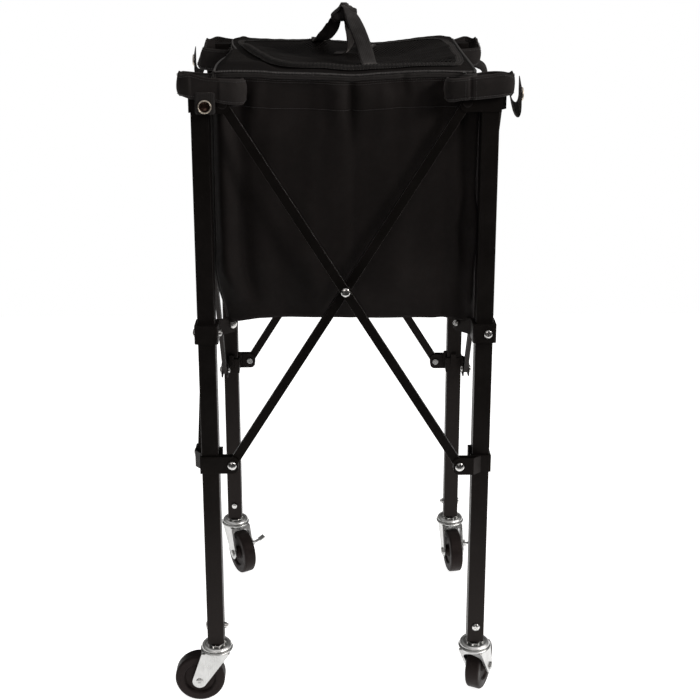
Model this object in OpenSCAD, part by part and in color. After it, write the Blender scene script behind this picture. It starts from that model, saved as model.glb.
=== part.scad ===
// Folding ball cart. Four square legs on swivel casters, crossed bars on all four
// sides that slide down the legs to fold the frame, and a fabric hopper with a zipped
// mesh lid hung inside the legs. Millimetres. +X right, +Y back, +Z up, origin on the
// floor under the middle of the cart. Corners run front left, front right, back right,
// back left, each a quarter turn on from the last.

/* [Legs] */
// Distance between neighbouring leg axes
leg_spacing = 396; // [340:1:440]
// Outer side of the square leg tube
leg_side = 25; // [20:0.5:32]
// Wall of the leg tube
leg_wall = 1.5; // [1:0.1:3]
// Corner radius of the leg tube
leg_round = 2; // [1:0.5:4]
// Height of the lower end of the tube
leg_bottom = 99; // [98:1:130]
// Height of the upper end of the tube
leg_top = 962; // [900:1:1000]
// Height of the cross bolt that holds the caster plug
cross_bolt_z = 124; // [115:1:150]

/* [Crossed bars] */
// Height of the upper pivots
top_pivot_z = 930; // [900:1:950]
// Height of the sliding pivots with the frame open
slide_pivot_z = 396; // [350:1:450]
// Distance of each pivot from its leg axis
pivot_reach = 32; // [28:0.5:40]
// Width of a bar
bar_width = 13; // [10:0.5:18]
// Thickness of a bar
bar_thick = 7; // [5:0.5:9]
// Radius of the pivot pins
pin_r = 3; // [2:0.1:4]
// Radial clearance of a pin in its bar
pin_gap = 0.05; // [0.01:0.01:0.1]
// Radius of a pivot head
head_r = 6.6; // [5:0.1:8]

/* [Collars] */
// Sheet thickness of the collars
sheet = 2; // [1.5:0.1:3]
// Half height of the slider and of the top bracket
collar_half = 13; // [10:0.5:18]
// Gap between the slider and its leg
slide_gap = 0.3; // [0.2:0.05:0.6]
// Height of the middle of the fixed mid collar
mid_z = 598; // [560:1:640]
// Height of the mid collar
mid_h = 27; // [24:1:40]
// Wall of the moulded mid collar
mid_wall = 4.4; // [3:0.1:6]
// Distance of the corner ear's screw from the leg axis
ear_reach = 48; // [40:0.5:60]

/* [Casters] */
// Wheel radius
wheel_r = 38; // [30:0.5:50]
// Half width of the tread
wheel_half = 11; // [8:0.5:14]
// Trail from the swivel axis to the axle
trail = 26; // [18:0.5:34]
// Radius of the fork's swivel race
race_r = 24.6; // [20:0.2:30]
// Axle radius
axle_r = 4; // [3:0.1:6]
// Half width inside the fork
fork_half = 16; // [15:0.5:22]
// Heading of the front left caster's trail
heading_fl = 180; // [-180:1:180]
// Heading of the front right caster's trail
heading_fr = 65; // [-180:1:180]
// Heading of the back right caster's trail
heading_rr = -82; // [-180:1:180]
// Heading of the back left caster's trail
heading_rl = -61; // [-180:1:180]

/* [Hopper] */
// Half width of the fabric hopper
bag_half = 182; // [150:1:184]
// Height of the hopper's floor
bag_bottom = 612; // [600:1:680]
// Height of the hopper's rim
bag_rim = 962; // [900:1:990]
// Thickness given to the fabric walls
cloth = 2; // [1:0.1:4]
// Height of the top of the carry handles
handle_top = 1048; // [1000:1:1080]
// Width of the handle webbing
webbing = 24; // [18:1:32]

/* [Hidden] */
$fn = 48;
eps = 0.01;
h = leg_spacing / 2;
lh = leg_side / 2;
span_x = leg_spacing - 2 * pivot_reach;
span_z = top_pivot_z - slide_pivot_z;
bar_len = sqrt(span_x * span_x + span_z * span_z);
bar_angle = atan2(span_z, span_x);
// planes of the two bars, measured outward from the leg axis
co = lh + slide_gap + sheet;
inner_out = co - sheet - slide_gap;
inner_in = inner_out - bar_thick;
outer_in = co + slide_gap;
outer_out = outer_in + bar_thick;
jog_in = outer_out + slide_gap;
jog_out = jog_in + sheet;
back_out = inner_in - slide_gap;
back_in = back_out - sheet;
hole_r = pin_r + pin_gap;
ear_end = pivot_reach + 9;
ear_round = 8;
bolt_r = 2.5;
seat = 0.05;
plug_half = lh - leg_wall - seat;
race_low = 88.4;
race_gap = 0.4;
cup_r = race_r - 1.6;
cheek_in = fork_half;
cheek_out = cheek_in + 2.5;
axle_pad = 10.8;
cheek_top = 84.6;
pedal_y = -cheek_out - 3;
pedal_z = 50;
// tangents from the crown of the fork to the rounded axle end
fx = -race_r + 2.8;
bx = race_r - 3.8;
fd = sqrt(pow(fx + trail, 2) + pow(cheek_top - wheel_r, 2));
fa = atan2(cheek_top - wheel_r, fx + trail) + acos(axle_pad / fd);
bd = sqrt(pow(bx + trail, 2) + pow(cheek_top - wheel_r, 2));
ba = atan2(cheek_top - wheel_r, bx + trail) - acos(axle_pad / bd);
front_foot = [-trail + axle_pad * cos(fa), wheel_r + axle_pad * sin(fa)];
back_foot = [-trail + axle_pad * cos(ba), wheel_r + axle_pad * sin(ba)];
front_lean = (fx - front_foot[0]) / (cheek_top - front_foot[1]);
back_lean = (bx - back_foot[0]) / (cheek_top - back_foot[1]);
loop_out = jog_out + 4.4;
loop_in = loop_out - 1.6;
loop_side = jog_out + 2.6;
loop_reach = 60;
loop_low = 930;
loop_high = 971;
tab_out = [0, 13, 11, 17];
bag_in = bag_half - cloth;
floor_half = bag_in - 0.2;
lid_half = bag_in - 0.5;
lid_top = bag_rim + 2;
hem_y = lid_half - 9;

// ---------------------------------------------------------------- helpers
module corner(k) rotate([0, 0, 90 * k]) translate([-h, -h, 0]) children();
module other_side() mirror([1, -1, 0]) children();
module along_y() rotate([-90, 0, 0]) children();
module along_x() rotate([0, 90, 0]) children();

module rounded_post(s, r, z0, z1) {
  translate([-s / 2 + r, -s / 2, z0]) cube([s - 2 * r, s, z1 - z0]);
  translate([-s / 2, -s / 2 + r, z0]) cube([s, s - 2 * r, z1 - z0]);
  for (x = [-1, 1], y = [-1, 1])
    translate([x * (s / 2 - r), y * (s / 2 - r), z0]) cylinder(r = r, h = z1 - z0);
}

// low domed head standing on z = 0
module dome(r, t) {
  rotate_extrude() polygon(concat([[0, 0], [r, 0], [r, t * 0.25]],
    [for (a = [18:18:72]) [r * cos(a), t * (0.25 + 0.75 * sin(a))]], [[0, t]]));
}

// domed screw head with a cross recess
module screw_head(r, t) difference() {
  dome(r, t);
  for (a = [0, 90]) rotate([0, 0, a + 20]) translate([-r * 0.55, -0.55, t - 1.1]) cube([r * 1.1, 1.1, 3]);
}

// upright plate running along +X with a rounded end, from y0 outward
module ear_plate(x0, y0, t, half) {
  translate([x0, y0, -half]) cube([ear_end - ear_round - x0, t, 2 * half]);
  translate([ear_end - ear_round - 1, y0, -half + ear_round])
    cube([ear_round + 1, t, 2 * (half - ear_round)]);
  for (s = [-1, 1]) translate([ear_end - ear_round, y0, s * (half - ear_round)])
    along_y() cylinder(r = ear_round, h = t);
}

module flush_ear() {
  ear_plate(0, -co, sheet, collar_half);
  ear_plate(lh + slide_gap, -back_out, sheet, collar_half);
}

module jogged_ear() {
  ear_plate(0, -co, sheet, collar_half);
  ear_plate(11.5, -jog_out, sheet, collar_half);
  translate([0, 0, -collar_half]) linear_extrude(2 * collar_half)
    polygon([[0, -co], [1.6, -co + 1.4], [13, -jog_in], [13, -jog_out], [11.5, -jog_out]]);
}

module ear_holes() {
  for (s = [0, 1]) mirror([s, -s, 0])
    translate([pivot_reach, -40, 0]) along_y() cylinder(r = hole_r, h = 60);
}

module collar_wall(inner) {
  difference() {
    translate([-co, -co, -collar_half]) cube([2 * co, 2 * co, 2 * collar_half]);
    translate([-inner, -inner, -collar_half - 1]) cube([2 * inner, 2 * inner, 2 * collar_half + 2]);
  }
}

// pivot pin along +Y: head at the front, plain end with a nut behind
module pivot_pin(front, behind, cap) {
  translate([pivot_reach, 0, 0]) {
    translate([0, -front - 1, 0]) along_y() cylinder(r = pin_r, h = front - behind + 4.5);
    translate([0, -front - seat, 0]) rotate([90, 0, 0]) dome(head_r, cap);
    translate([0, -behind + seat, 0]) along_y() cylinder(r = 5, h = 2.6);
  }
}

module jogged_pin(cap = 3.8) pivot_pin(jog_out, co - sheet, cap);
module flush_pin(cap = 3.8) pivot_pin(co, back_in, cap);

// ---------------------------------------------------------------- legs
module leg(k) corner(k) color([0.03, 0.03, 0.03]) {
  difference() {
    rounded_post(leg_side, leg_round, leg_bottom, leg_top);
    translate([-lh + leg_wall, -lh + leg_wall, leg_bottom - 1])
      cube([leg_side - 2 * leg_wall, leg_side - 2 * leg_wall, leg_top - leg_bottom + 2]);
    translate([-30, 0, cross_bolt_z]) along_x() cylinder(r = bolt_r + 0.1, h = 60);
    translate([-30, -5, mid_z]) along_x() cylinder(r = bolt_r + 0.1, h = 60);
  }
  // plug that carries the caster
  difference() {
    union() {
      translate([-plug_half, -plug_half, leg_bottom - 1]) cube([2 * plug_half, 2 * plug_half, 42]);
      translate([0, 0, leg_bottom - 6]) cylinder(r = 9.4, h = 6 - seat);
    }
    translate([-30, 0, cross_bolt_z]) along_x() cylinder(r = bolt_r + 0.1, h = 60);
  }
  // plug in the open top
  translate([-plug_half, -plug_half, leg_top - 14]) cube([2 * plug_half, 2 * plug_half, 14 + seat]);
  rounded_post(leg_side, leg_round, leg_top + seat, leg_top + 3);
}

module collars(k) corner(k) color([0.04, 0.04, 0.04]) {
  // top bracket
  translate([0, 0, top_pivot_z]) difference() {
    union() {
      collar_wall(lh);
      jogged_ear();
      other_side() flush_ear();
    }
    ear_holes();
    translate([-lh, -lh, -40]) cube([leg_side, leg_side, 80]);
  }
  // painted pins of the upper pivots
  translate([0, 0, top_pivot_z]) {
    jogged_pin(2.2);
    other_side() flush_pin(2.2);
  }
  // mid collar with its inward corner ear
  translate([0, 0, mid_z]) difference() {
    union() {
      rounded_post(leg_side + 2 * mid_wall, 3, -mid_h / 2, mid_h / 2);
      rotate([0, 0, 45]) {
        translate([20, -1.4, -12]) cube([ear_reach - 20, 2.8, 24]);
        translate([ear_reach - 1, -1.4, -4]) cube([9, 2.8, 8]);
        for (z = [-4, 4]) translate([ear_reach, -1.4, z]) along_y() cylinder(r = 8, h = 2.8);
      }
    }
    translate([-lh, -lh, -40]) cube([leg_side, leg_side, 80]);
    translate([-30, -5, 0]) along_x() cylinder(r = bolt_r + 0.1, h = 60);
    rotate([0, 0, 45]) translate([ear_reach, -10, 0]) along_y() cylinder(r = bolt_r + 0.05, h = 20);
  }
}

module fasteners(k) corner(k) color([0.75, 0.75, 0.75]) {
  // bolt through the mid collar
  translate([0, -5, mid_z]) {
    translate([-lh - mid_wall - 1, 0, 0]) along_x() cylinder(r = bolt_r, h = leg_side + 2 * mid_wall + 6);
    translate([-lh - mid_wall, 0, 0]) rotate([0, -90, 0]) screw_head(6, 3.4);
    translate([lh + mid_wall, 0, 0]) along_x() cylinder(r = 4.6, h = 3.6);
  }
  // bolt through the caster plug
  translate([0, 0, cross_bolt_z]) {
    translate([-lh - 1, 0, 0]) along_x() cylinder(r = bolt_r, h = leg_side + 7.5);
    translate([-lh, 0, 0]) rotate([0, -90, 0]) screw_head(6, 3.6);
    translate([lh, 0, 0]) along_x() cylinder(r = 4.4, h = 3.8);
  }
  // screw of the corner ear
  translate([0, 0, mid_z]) rotate([0, 0, 45]) translate([ear_reach, 0, 0]) {
    translate([0, -2, 0]) along_y() cylinder(r = bolt_r, h = 9);
    translate([0, -1.4, 0]) rotate([90, 0, 0]) screw_head(6.6, 3);
    translate([0, 1.4, 0]) along_y() cylinder(r = 4.4, h = 3);
  }
  // press stud ring on the corner loop's tab
  translate([9, -loop_out - tab_out[k] - 1.7, tab_out[k] > 0 ? 938 : 927.5]) rotate([90, 0, 0]) difference() {
    cylinder(r = 9.2, h = 1.8);
    translate([0, 0, -1]) cylinder(r = 7.4, h = 5);
  }
}

// upper race: a dished ring with swaged bumps round the stem, and the swivel pin under it
module caster_stem(k) corner(k) color([0.8, 0.8, 0.8]) {
  rotate_extrude() polygon([[0, 78.4], [7, 78.4], [7, 81], [5, 81.4], [5, race_low + race_gap],
    [cup_r - 2.5, race_low + race_gap], [cup_r - 0.6, race_low + 0.9], [cup_r, race_low + 1.8],
    [cup_r - 0.3, race_low + 2.8], [cup_r - 1.3, race_low + 4.1], [cup_r - 2.8, race_low + 5.2],
    [cup_r - 4.6, race_low + 5.7], [cup_r - 6, race_low + 5.5], [cup_r - 7, race_low + 4.7],
    [cup_r - 7.8, race_low + 3.8], [9.4, race_low + 3.8], [9.4, leg_bottom - 6], [0, leg_bottom - 6]]);
  for (a = [22.5:45:360]) rotate([0, 0, a]) translate([12.2, 0, race_low + 3.4]) dome(1.9, 2.9);
}

// ---------------------------------------------------------------- crossed bars
module slider(k) corner(k) color([0.04, 0.04, 0.04]) translate([0, 0, slide_pivot_z]) {
  difference() {
    union() {
      collar_wall(lh + slide_gap);
      flush_ear();
      other_side() jogged_ear();
      // upstand beside the leg
      for (t = [0, 1]) mirror([t, -t, 0]) translate([lh + slide_gap, -3, 0]) cube([5, 9, 21]);
    }
    ear_holes();
    translate([-lh - slide_gap, -lh - slide_gap, -40])
      cube([leg_side + 2 * slide_gap, leg_side + 2 * slide_gap, 80]);
  }
}

module slider_pins(k) corner(k) color([0.75, 0.75, 0.75]) translate([0, 0, slide_pivot_z]) {
  flush_pin();
  other_side() jogged_pin();
}

module flat_bar(x, turn, out) {
  translate([x, -out, top_pivot_z]) rotate([0, turn, 0]) difference() {
    union() {
      translate([0, 0, -bar_width / 2]) cube([bar_len, bar_thick, bar_width]);
      for (d = [0, bar_len]) translate([d, 0, 0]) along_y() cylinder(r = bar_width / 2, h = bar_thick);
    }
    for (d = [0, bar_len / 2, bar_len])
      translate([d, -1, 0]) along_y() cylinder(r = hole_r, h = bar_thick + 2);
  }
}

module outer_bar(k) corner(k) color([0.05, 0.05, 0.05]) flat_bar(pivot_reach, bar_angle, outer_out);
module inner_bar(k) corner(k) color([0.05, 0.05, 0.05])
  flat_bar(leg_spacing - pivot_reach, 180 - bar_angle, inner_out);

module rivet(k) corner(k) color([0.75, 0.75, 0.75])
  translate([h, 0, (top_pivot_z + slide_pivot_z) / 2]) {
    translate([0, -outer_out - 1, 0]) along_y() cylinder(r = pin_r, h = outer_out - inner_in + 2.5);
    translate([0, -outer_out, 0]) rotate([90, 0, 0]) dome(head_r, 3.6);
    translate([0, -outer_in, 0]) along_y() cylinder(r = 7, h = outer_in - inner_out - slide_gap);
    translate([0, -inner_in + slide_gap, 0]) along_y() cylinder(r = 6, h = 1.8);
  }

// ---------------------------------------------------------------- casters
// fork frame: swivel axis on Z, trail along -X
module at_heading(k, a) corner(k) rotate([0, 0, a - 90 * k + 180]) children();

// cheeks and crown in one bent sheet, seen from the side
module fork_block() {
  translate([0, cheek_out, 0]) rotate([90, 0, 0]) linear_extrude(2 * cheek_out)
    polygon([[fx, cheek_top], [bx, cheek_top], back_foot, [-trail, wheel_r], front_foot]);
  translate([-trail, -cheek_out, wheel_r]) along_y() cylinder(r = axle_pad, h = 2 * cheek_out);
}

// room for the wheel, leaving slanting end walls under the crown
module fork_hollow() {
  low = 46;
  d = cheek_top - 2.4 - low;
  translate([0, cheek_in, 0]) rotate([90, 0, 0]) linear_extrude(2 * cheek_in)
    polygon([[fx + 2.4, cheek_top - 2.4], [bx - 3, cheek_top - 2.4], [bx - 3 - d * back_lean, low],
      [60, low], [60, 5], [-90, 5], [-90, low], [fx + 2.4 - d * front_lean, low]]);
}

// arched opening through the leading end wall
module fork_arch(x, z) {
  translate([x, 0, z]) along_x() cylinder(r = cheek_in - 1, h = 60);
  translate([x, -cheek_in + 1.5, 40]) cube([60, 2 * cheek_in - 3, z - 40]);
}

// squarer mouth over the wheel through the trailing end wall
module fork_mouth(x, z) {
  w = cheek_in - 0.8;
  r = 5;
  translate([x, -w, 40]) cube([58, 2 * w, z - r - 40]);
  translate([x, -w + r, 40]) cube([58, 2 * (w - r), z - 40]);
  for (s = [-1, 1]) translate([x, s * (w - r), z - r]) along_x() cylinder(r = r, h = 58);
}

module caster_fork(k, a, braked) at_heading(k, a) color([0.7, 0.71, 0.72]) {
  difference() {
    union() {
      // lower race on the crown
      rotate_extrude() polygon([[4, cheek_top - 1], [race_r - 1.6, cheek_top - 1], [race_r - 1.2, cheek_top - 0.4],
        [race_r, cheek_top + 0.6], [race_r, cheek_top + 2], [race_r - 1, cheek_top + 3.2],
        [race_r - 3, race_low], [4, race_low]]);
      fork_block();
      if (braked) for (x = [-32.6, -22.4]) translate([x, pedal_y - 2.6, pedal_z - 3.2]) cube([3, 6, 6.4]);
    }
    fork_hollow();
    fork_arch(-12, 62);
    fork_mouth(-70.3, 79);
    translate([0, 0, 70]) cylinder(r = 5.05, h = 30);
    translate([-trail, -40, wheel_r]) along_y() cylinder(r = axle_r + 0.02, h = 80);
    if (braked) translate([-40, pedal_y, pedal_z]) along_x() cylinder(r = 1.5, h = 40);
  }
  // axle bolt
  translate([-trail, 0, wheel_r]) {
    translate([0, -cheek_out - 0.5, 0]) along_y() cylinder(r = axle_r - 0.05, h = 2 * cheek_out + 3.6);
    translate([0, -cheek_out - seat, 0]) rotate([90, 0, 0]) screw_head(axle_r + 1.4, 2.4);
    translate([0, cheek_out + seat, 0]) along_y() cylinder(r = axle_r + 1.8, h = 2.4, $fn = 6);
  }
  // hinge pin of the brake pedal
  if (braked) translate([-33.2, pedal_y, pedal_z]) along_x() cylinder(r = 1.45, h = 14.4);
}

module wheel(k, a) at_heading(k, a) color([0.04, 0.04, 0.04])
  translate([-trail, 0, wheel_r]) rotate([90, 0, 0]) rotate_extrude()
    polygon(concat(half_wheel(-1), [for (i = [len(half_wheel(1)) - 1:-1:0]) half_wheel(1)[i]]));

// one side of the wheel's section, from the hub out to the tread
function half_wheel(s) = [[axle_r + 0.03, s * (cheek_in - 0.4)], [8.5, s * (cheek_in - 0.4)],
  [10, s * (wheel_half + 0.2)], [12, s * (wheel_half - 3.6)], [22.5, s * (wheel_half - 3.6)],
  [24.6, s * (wheel_half - 0.8)], [26.4, s * wheel_half], [34.6, s * wheel_half],
  [36.4, s * (wheel_half - 0.7)], [wheel_r - 0.5, s * (wheel_half - 1.7)], [wheel_r, s * (wheel_half - 3)]];

// side lever curving up and out from its hinge
module brake_pedal(k, a) at_heading(k, a) color([0.72, 0.72, 0.72])
  translate([0, pedal_y, pedal_z]) difference() {
    union() {
      translate([-29.4, 0, 0]) along_x() cylinder(r = 2.4, h = 6.8);
      translate([-29.2, 0, 0]) rotate([90, 0, 90]) linear_extrude(6.4)
        polygon([[-0.8, 1.1], [-5.5, -0.3], [-13.5, 2], [-22.8, 6.4], [-23.2, 5], [-13.9, 0.3],
          [-5.6, -2], [-0.8, -1]]);
      translate([-31.4, 0, 0]) rotate([90, 0, 90]) linear_extrude(10.8)
        polygon([[-13.2, 2.1], [-23, 6.8], [-23.8, 5.2], [-13.8, 0.2]]);
    }
    translate([-40, 0, 0]) along_x() cylinder(r = 1.5, h = 40);
  }

// ---------------------------------------------------------------- hopper
module corner_loop(k) corner(k) color([0.07, 0.07, 0.08]) {
  bag_face = h - bag_half - 0.2;
  translate([0, 0, loop_low]) linear_extrude(loop_high - loop_low)
    polygon([[loop_reach, bag_face], [loop_reach, -loop_out + 5], [loop_reach - 5, -loop_out],
      [-loop_side + 8, -loop_out], [-loop_side, -loop_out + 8], [-loop_side, loop_reach - 5],
      [-loop_side + 5, loop_reach], [bag_face, loop_reach], [bag_face, loop_reach - 1.6],
      [-loop_side + 6, loop_reach - 1.6], [-loop_side + 1.6, loop_reach - 5.8],
      [-loop_side + 1.6, -loop_in + 7.2], [-loop_side + 8.8, -loop_in], [loop_reach - 5.8, -loop_in],
      [loop_reach - 1.6, -loop_in + 4.4], [loop_reach - 1.6, bag_face]]);
  // press stud tab, flat on the band or curled out from under it
  t = tab_out[k];
  if (t == 0) translate([-4, -loop_out - 1.6, 917]) cube([27, 1.7, 29]);
  else translate([-4, 0, 0]) rotate([90, 0, 90]) linear_extrude(27)
    polygon([[-loop_out + 0.2, 934], [-loop_out - 0.6 * t, 915], [-loop_out - t - 1.6, 919],
      [-loop_out - t - 1.6, 956], [-loop_out - t, 956], [-loop_out - t, 920.6],
      [-loop_out - 0.6 * t, 917.2], [-loop_out + 0.2, 937.5]]);
}

module bag_wall(s) translate([-bag_half, s < 0 ? -bag_half : bag_in, bag_bottom])
  cube([2 * bag_half, cloth, bag_rim - bag_bottom]);

module bag_front() color([0.06, 0.06, 0.07]) bag_wall(-1);
module bag_back() color([0.06, 0.06, 0.07]) bag_wall(1);
module bag_side(s) color([0.06, 0.06, 0.07])
  translate([s < 0 ? -bag_half : bag_in, -bag_in + 0.2, bag_bottom])
    cube([cloth, 2 * bag_in - 0.4, bag_rim - bag_bottom]);
module bag_left() bag_side(-1);
module bag_right() bag_side(1);
module bag_floor() color([0.06, 0.06, 0.07]) translate([-floor_half, -floor_half, bag_bottom])
  cube([2 * floor_half, 2 * floor_half, cloth]);
module lid_hem() color([0.05, 0.05, 0.05]) translate([-lid_half, hem_y, bag_rim - 2])
  cube([2 * lid_half, lid_half - hem_y, lid_top - bag_rim + 2]);
module lid() color([0.1, 0.1, 0.1]) {
  // sewn border
  translate([0, 0, bag_rim - 1]) difference() {
    translate([-lid_half, -lid_half, 0]) cube([2 * lid_half, lid_half + hem_y - 0.2, 3]);
    translate([-lid_half + 28, -lid_half + 28, -1]) cube([2 * lid_half - 56, lid_half + hem_y - 56, 5]);
  }
  // mesh panel
  translate([-lid_half + 28 + seat, -lid_half + 28 + seat, bag_rim])
    cube([2 * lid_half - 56 - 2 * seat, lid_half + hem_y - 56 - 2 * seat, 1]);
}

module strap(p, q, t) {
  d = q - p;
  l = norm(d);
  translate(p) rotate([0, acos(d[2] / l), atan2(d[1], d[0])])
    translate([-t / 2, -webbing / 2, 0]) cube([t, webbing, l]);
}

module carry_handles() color([0.08, 0.08, 0.08]) {
  for (p = [[-60, 130, lid_top + 3], [72, 128, lid_top + 3], [-4, 66, lid_top + 3], [38, -28, lid_top + 3]])
    strap(p, [0, p[1] < 80 ? -4 : 14, handle_top - 26], 2);
  translate([-15, -16, handle_top - 30]) cube([30, 40, 26]);
  translate([0, -16, handle_top - 15]) along_y() cylinder(r = 15, h = 40);
}

module zip_pull() color([0.8, 0.8, 0.82]) {
  translate([158, -lid_half + 0.5, lid_top + 0.4]) cube([11, 7, 3.4]);
  translate([161, -lid_half - 14, lid_top + 2.2]) cube([5, 15, 1.4]);
}

module leg_fl() leg(0);
module leg_fr() leg(1);
module leg_rr() leg(2);
module leg_rl() leg(3);
module collars_fl() collars(0);
module collars_fr() collars(1);
module collars_rr() collars(2);
module collars_rl() collars(3);
module fasteners_fl() fasteners(0);
module fasteners_fr() fasteners(1);
module fasteners_rr() fasteners(2);
module fasteners_rl() fasteners(3);
module caster_stem_fl() caster_stem(0);
module caster_stem_fr() caster_stem(1);
module caster_stem_rr() caster_stem(2);
module caster_stem_rl() caster_stem(3);
module slider_fl() slider(0);
module slider_fr() slider(1);
module slider_rr() slider(2);
module slider_rl() slider(3);
module slider_pins_fl() slider_pins(0);
module slider_pins_fr() slider_pins(1);
module slider_pins_rr() slider_pins(2);
module slider_pins_rl() slider_pins(3);
module bar_front_outer() outer_bar(0);
module bar_right_outer() outer_bar(1);
module bar_back_outer() outer_bar(2);
module bar_left_outer() outer_bar(3);
module bar_front_inner() inner_bar(0);
module bar_right_inner() inner_bar(1);
module bar_back_inner() inner_bar(2);
module bar_left_inner() inner_bar(3);
module rivet_front() rivet(0);
module rivet_right() rivet(1);
module rivet_back() rivet(2);
module rivet_left() rivet(3);
module caster_fork_fl() caster_fork(0, heading_fl, false);
module caster_fork_fr() caster_fork(1, heading_fr, false);
module caster_fork_rr() caster_fork(2, heading_rr, true);
module caster_fork_rl() caster_fork(3, heading_rl, true);
module wheel_fl() wheel(0, heading_fl);
module wheel_fr() wheel(1, heading_fr);
module wheel_rr() wheel(2, heading_rr);
module wheel_rl() wheel(3, heading_rl);
module brake_pedal_rr() brake_pedal(2, heading_rr);
module brake_pedal_rl() brake_pedal(3, heading_rl);
module corner_loop_fl() corner_loop(0);
module corner_loop_fr() corner_loop(1);
module corner_loop_rr() corner_loop(2);
module corner_loop_rl() corner_loop(3);

leg_fl();
leg_fr();
leg_rr();
leg_rl();
collars_fl();
collars_fr();
collars_rr();
collars_rl();
fasteners_fl();
fasteners_fr();
fasteners_rr();
fasteners_rl();
caster_stem_fl();
caster_stem_fr();
caster_stem_rr();
caster_stem_rl();
slider_fl();
slider_fr();
slider_rr();
slider_rl();
slider_pins_fl();
slider_pins_fr();
slider_pins_rr();
slider_pins_rl();
bar_front_outer();
bar_right_outer();
bar_back_outer();
bar_left_outer();
bar_front_inner();
bar_right_inner();
bar_back_inner();
bar_left_inner();
rivet_front();
rivet_right();
rivet_back();
rivet_left();
caster_fork_fl();
caster_fork_fr();
caster_fork_rr();
caster_fork_rl();
wheel_fl();
wheel_fr();
wheel_rr();
wheel_rl();
brake_pedal_rr();
brake_pedal_rl();
corner_loop_fl();
corner_loop_fr();
corner_loop_rr();
corner_loop_rl();
bag_front();
bag_right();
bag_back();
bag_left();
bag_floor();
lid_hem();
lid();
carry_handles();
zip_pull();
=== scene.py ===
import math

import bmesh
import bpy
import numpy as np
from mathutils import Matrix, Vector, noise


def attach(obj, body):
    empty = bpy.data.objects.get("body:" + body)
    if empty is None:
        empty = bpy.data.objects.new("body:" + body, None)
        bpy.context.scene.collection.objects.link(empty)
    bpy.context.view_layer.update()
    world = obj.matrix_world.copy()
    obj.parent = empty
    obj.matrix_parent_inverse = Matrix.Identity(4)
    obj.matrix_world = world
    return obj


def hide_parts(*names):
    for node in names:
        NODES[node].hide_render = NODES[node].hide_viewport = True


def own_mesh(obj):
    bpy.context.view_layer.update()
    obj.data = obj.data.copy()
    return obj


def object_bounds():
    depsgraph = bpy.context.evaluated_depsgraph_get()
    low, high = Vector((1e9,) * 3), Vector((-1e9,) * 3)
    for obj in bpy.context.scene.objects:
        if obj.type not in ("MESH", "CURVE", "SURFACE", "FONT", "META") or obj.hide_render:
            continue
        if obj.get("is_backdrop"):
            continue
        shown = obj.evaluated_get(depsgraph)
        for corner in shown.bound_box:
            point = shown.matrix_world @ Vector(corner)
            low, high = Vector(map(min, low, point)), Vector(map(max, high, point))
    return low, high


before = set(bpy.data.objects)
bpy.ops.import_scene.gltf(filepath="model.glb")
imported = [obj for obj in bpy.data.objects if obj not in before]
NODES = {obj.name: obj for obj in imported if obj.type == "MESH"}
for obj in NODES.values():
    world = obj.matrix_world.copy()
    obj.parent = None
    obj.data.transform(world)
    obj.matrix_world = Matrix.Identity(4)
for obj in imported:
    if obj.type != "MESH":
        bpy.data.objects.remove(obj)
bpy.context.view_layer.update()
SCENE = bpy.context.scene
CORNERS = ("fl", "fr", "rr", "rl")
SIDES = ("front", "right", "back", "left")
H = 0.198            # leg axis from the middle
RIM = 0.962          # height of the hopper's rim


# ------------------------------------------------------------------ small helpers
def smooth(a, b, x):
    t = min(1.0, max(0.0, (x - a) / (b - a)))
    return t * t * (3 - 2 * t)


def bump(x, c, w):
    """A soft hump of height 1 at c, w wide each way."""
    return math.exp(-((x - c) / w) ** 2)


def n3(x, y, z, s=1.0):
    return noise.noise(Vector((x * s, y * s, z * s)))


def turn(k, x, y):
    """From a corner's own plan, leg axis at the origin, to the cart's plan."""
    x, y = x - H, y - H
    for _ in range(k):
        x, y = -y, x
    return x, y


def new_object(name, verts, faces, uvs=None, mats=(), face_mats=None, sharp=False):
    me = bpy.data.meshes.new(name)
    me.from_pydata([tuple(v) for v in verts], [], faces)
    if uvs is not None:
        layer = me.uv_layers.new(name="UVMap")
        flat = np.zeros(len(me.loops) * 2, np.float32)
        idx = np.zeros(len(me.loops), np.int32)
        me.loops.foreach_get("vertex_index", idx)
        flat = np.asarray(uvs, np.float32)[idx].ravel()
        layer.data.foreach_set("uv", flat)
    for m in mats:
        me.materials.append(m)
    if face_mats is not None:
        me.polygons.foreach_set("material_index", np.asarray(face_mats, np.int32))
    me.polygons.foreach_set("use_smooth", [not sharp] * len(me.polygons))
    me.update()
    o = bpy.data.objects.new(name, me)
    SCENE.collection.objects.link(o)
    return o


def grid_faces(nu, nv, wrap=False, base=0):
    f = []
    for i in range(nu if wrap else nu - 1):
        for j in range(nv - 1):
            a, b = base + i * nv + j, base + ((i + 1) % nu) * nv + j
            f.append((a, b, b + 1, a + 1))
    return f


def grid_normals(P, wrap=False):
    """P is nu x nv x 3. Unit normals, du cross dv."""
    if wrap:
        du = np.roll(P, -1, 0) - np.roll(P, 1, 0)
    else:
        du = np.gradient(P, axis=0)
    dv = np.gradient(P, axis=1)
    n = np.cross(du, dv)
    return n / np.maximum(np.linalg.norm(n, axis=2, keepdims=True), 1e-12)


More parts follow.
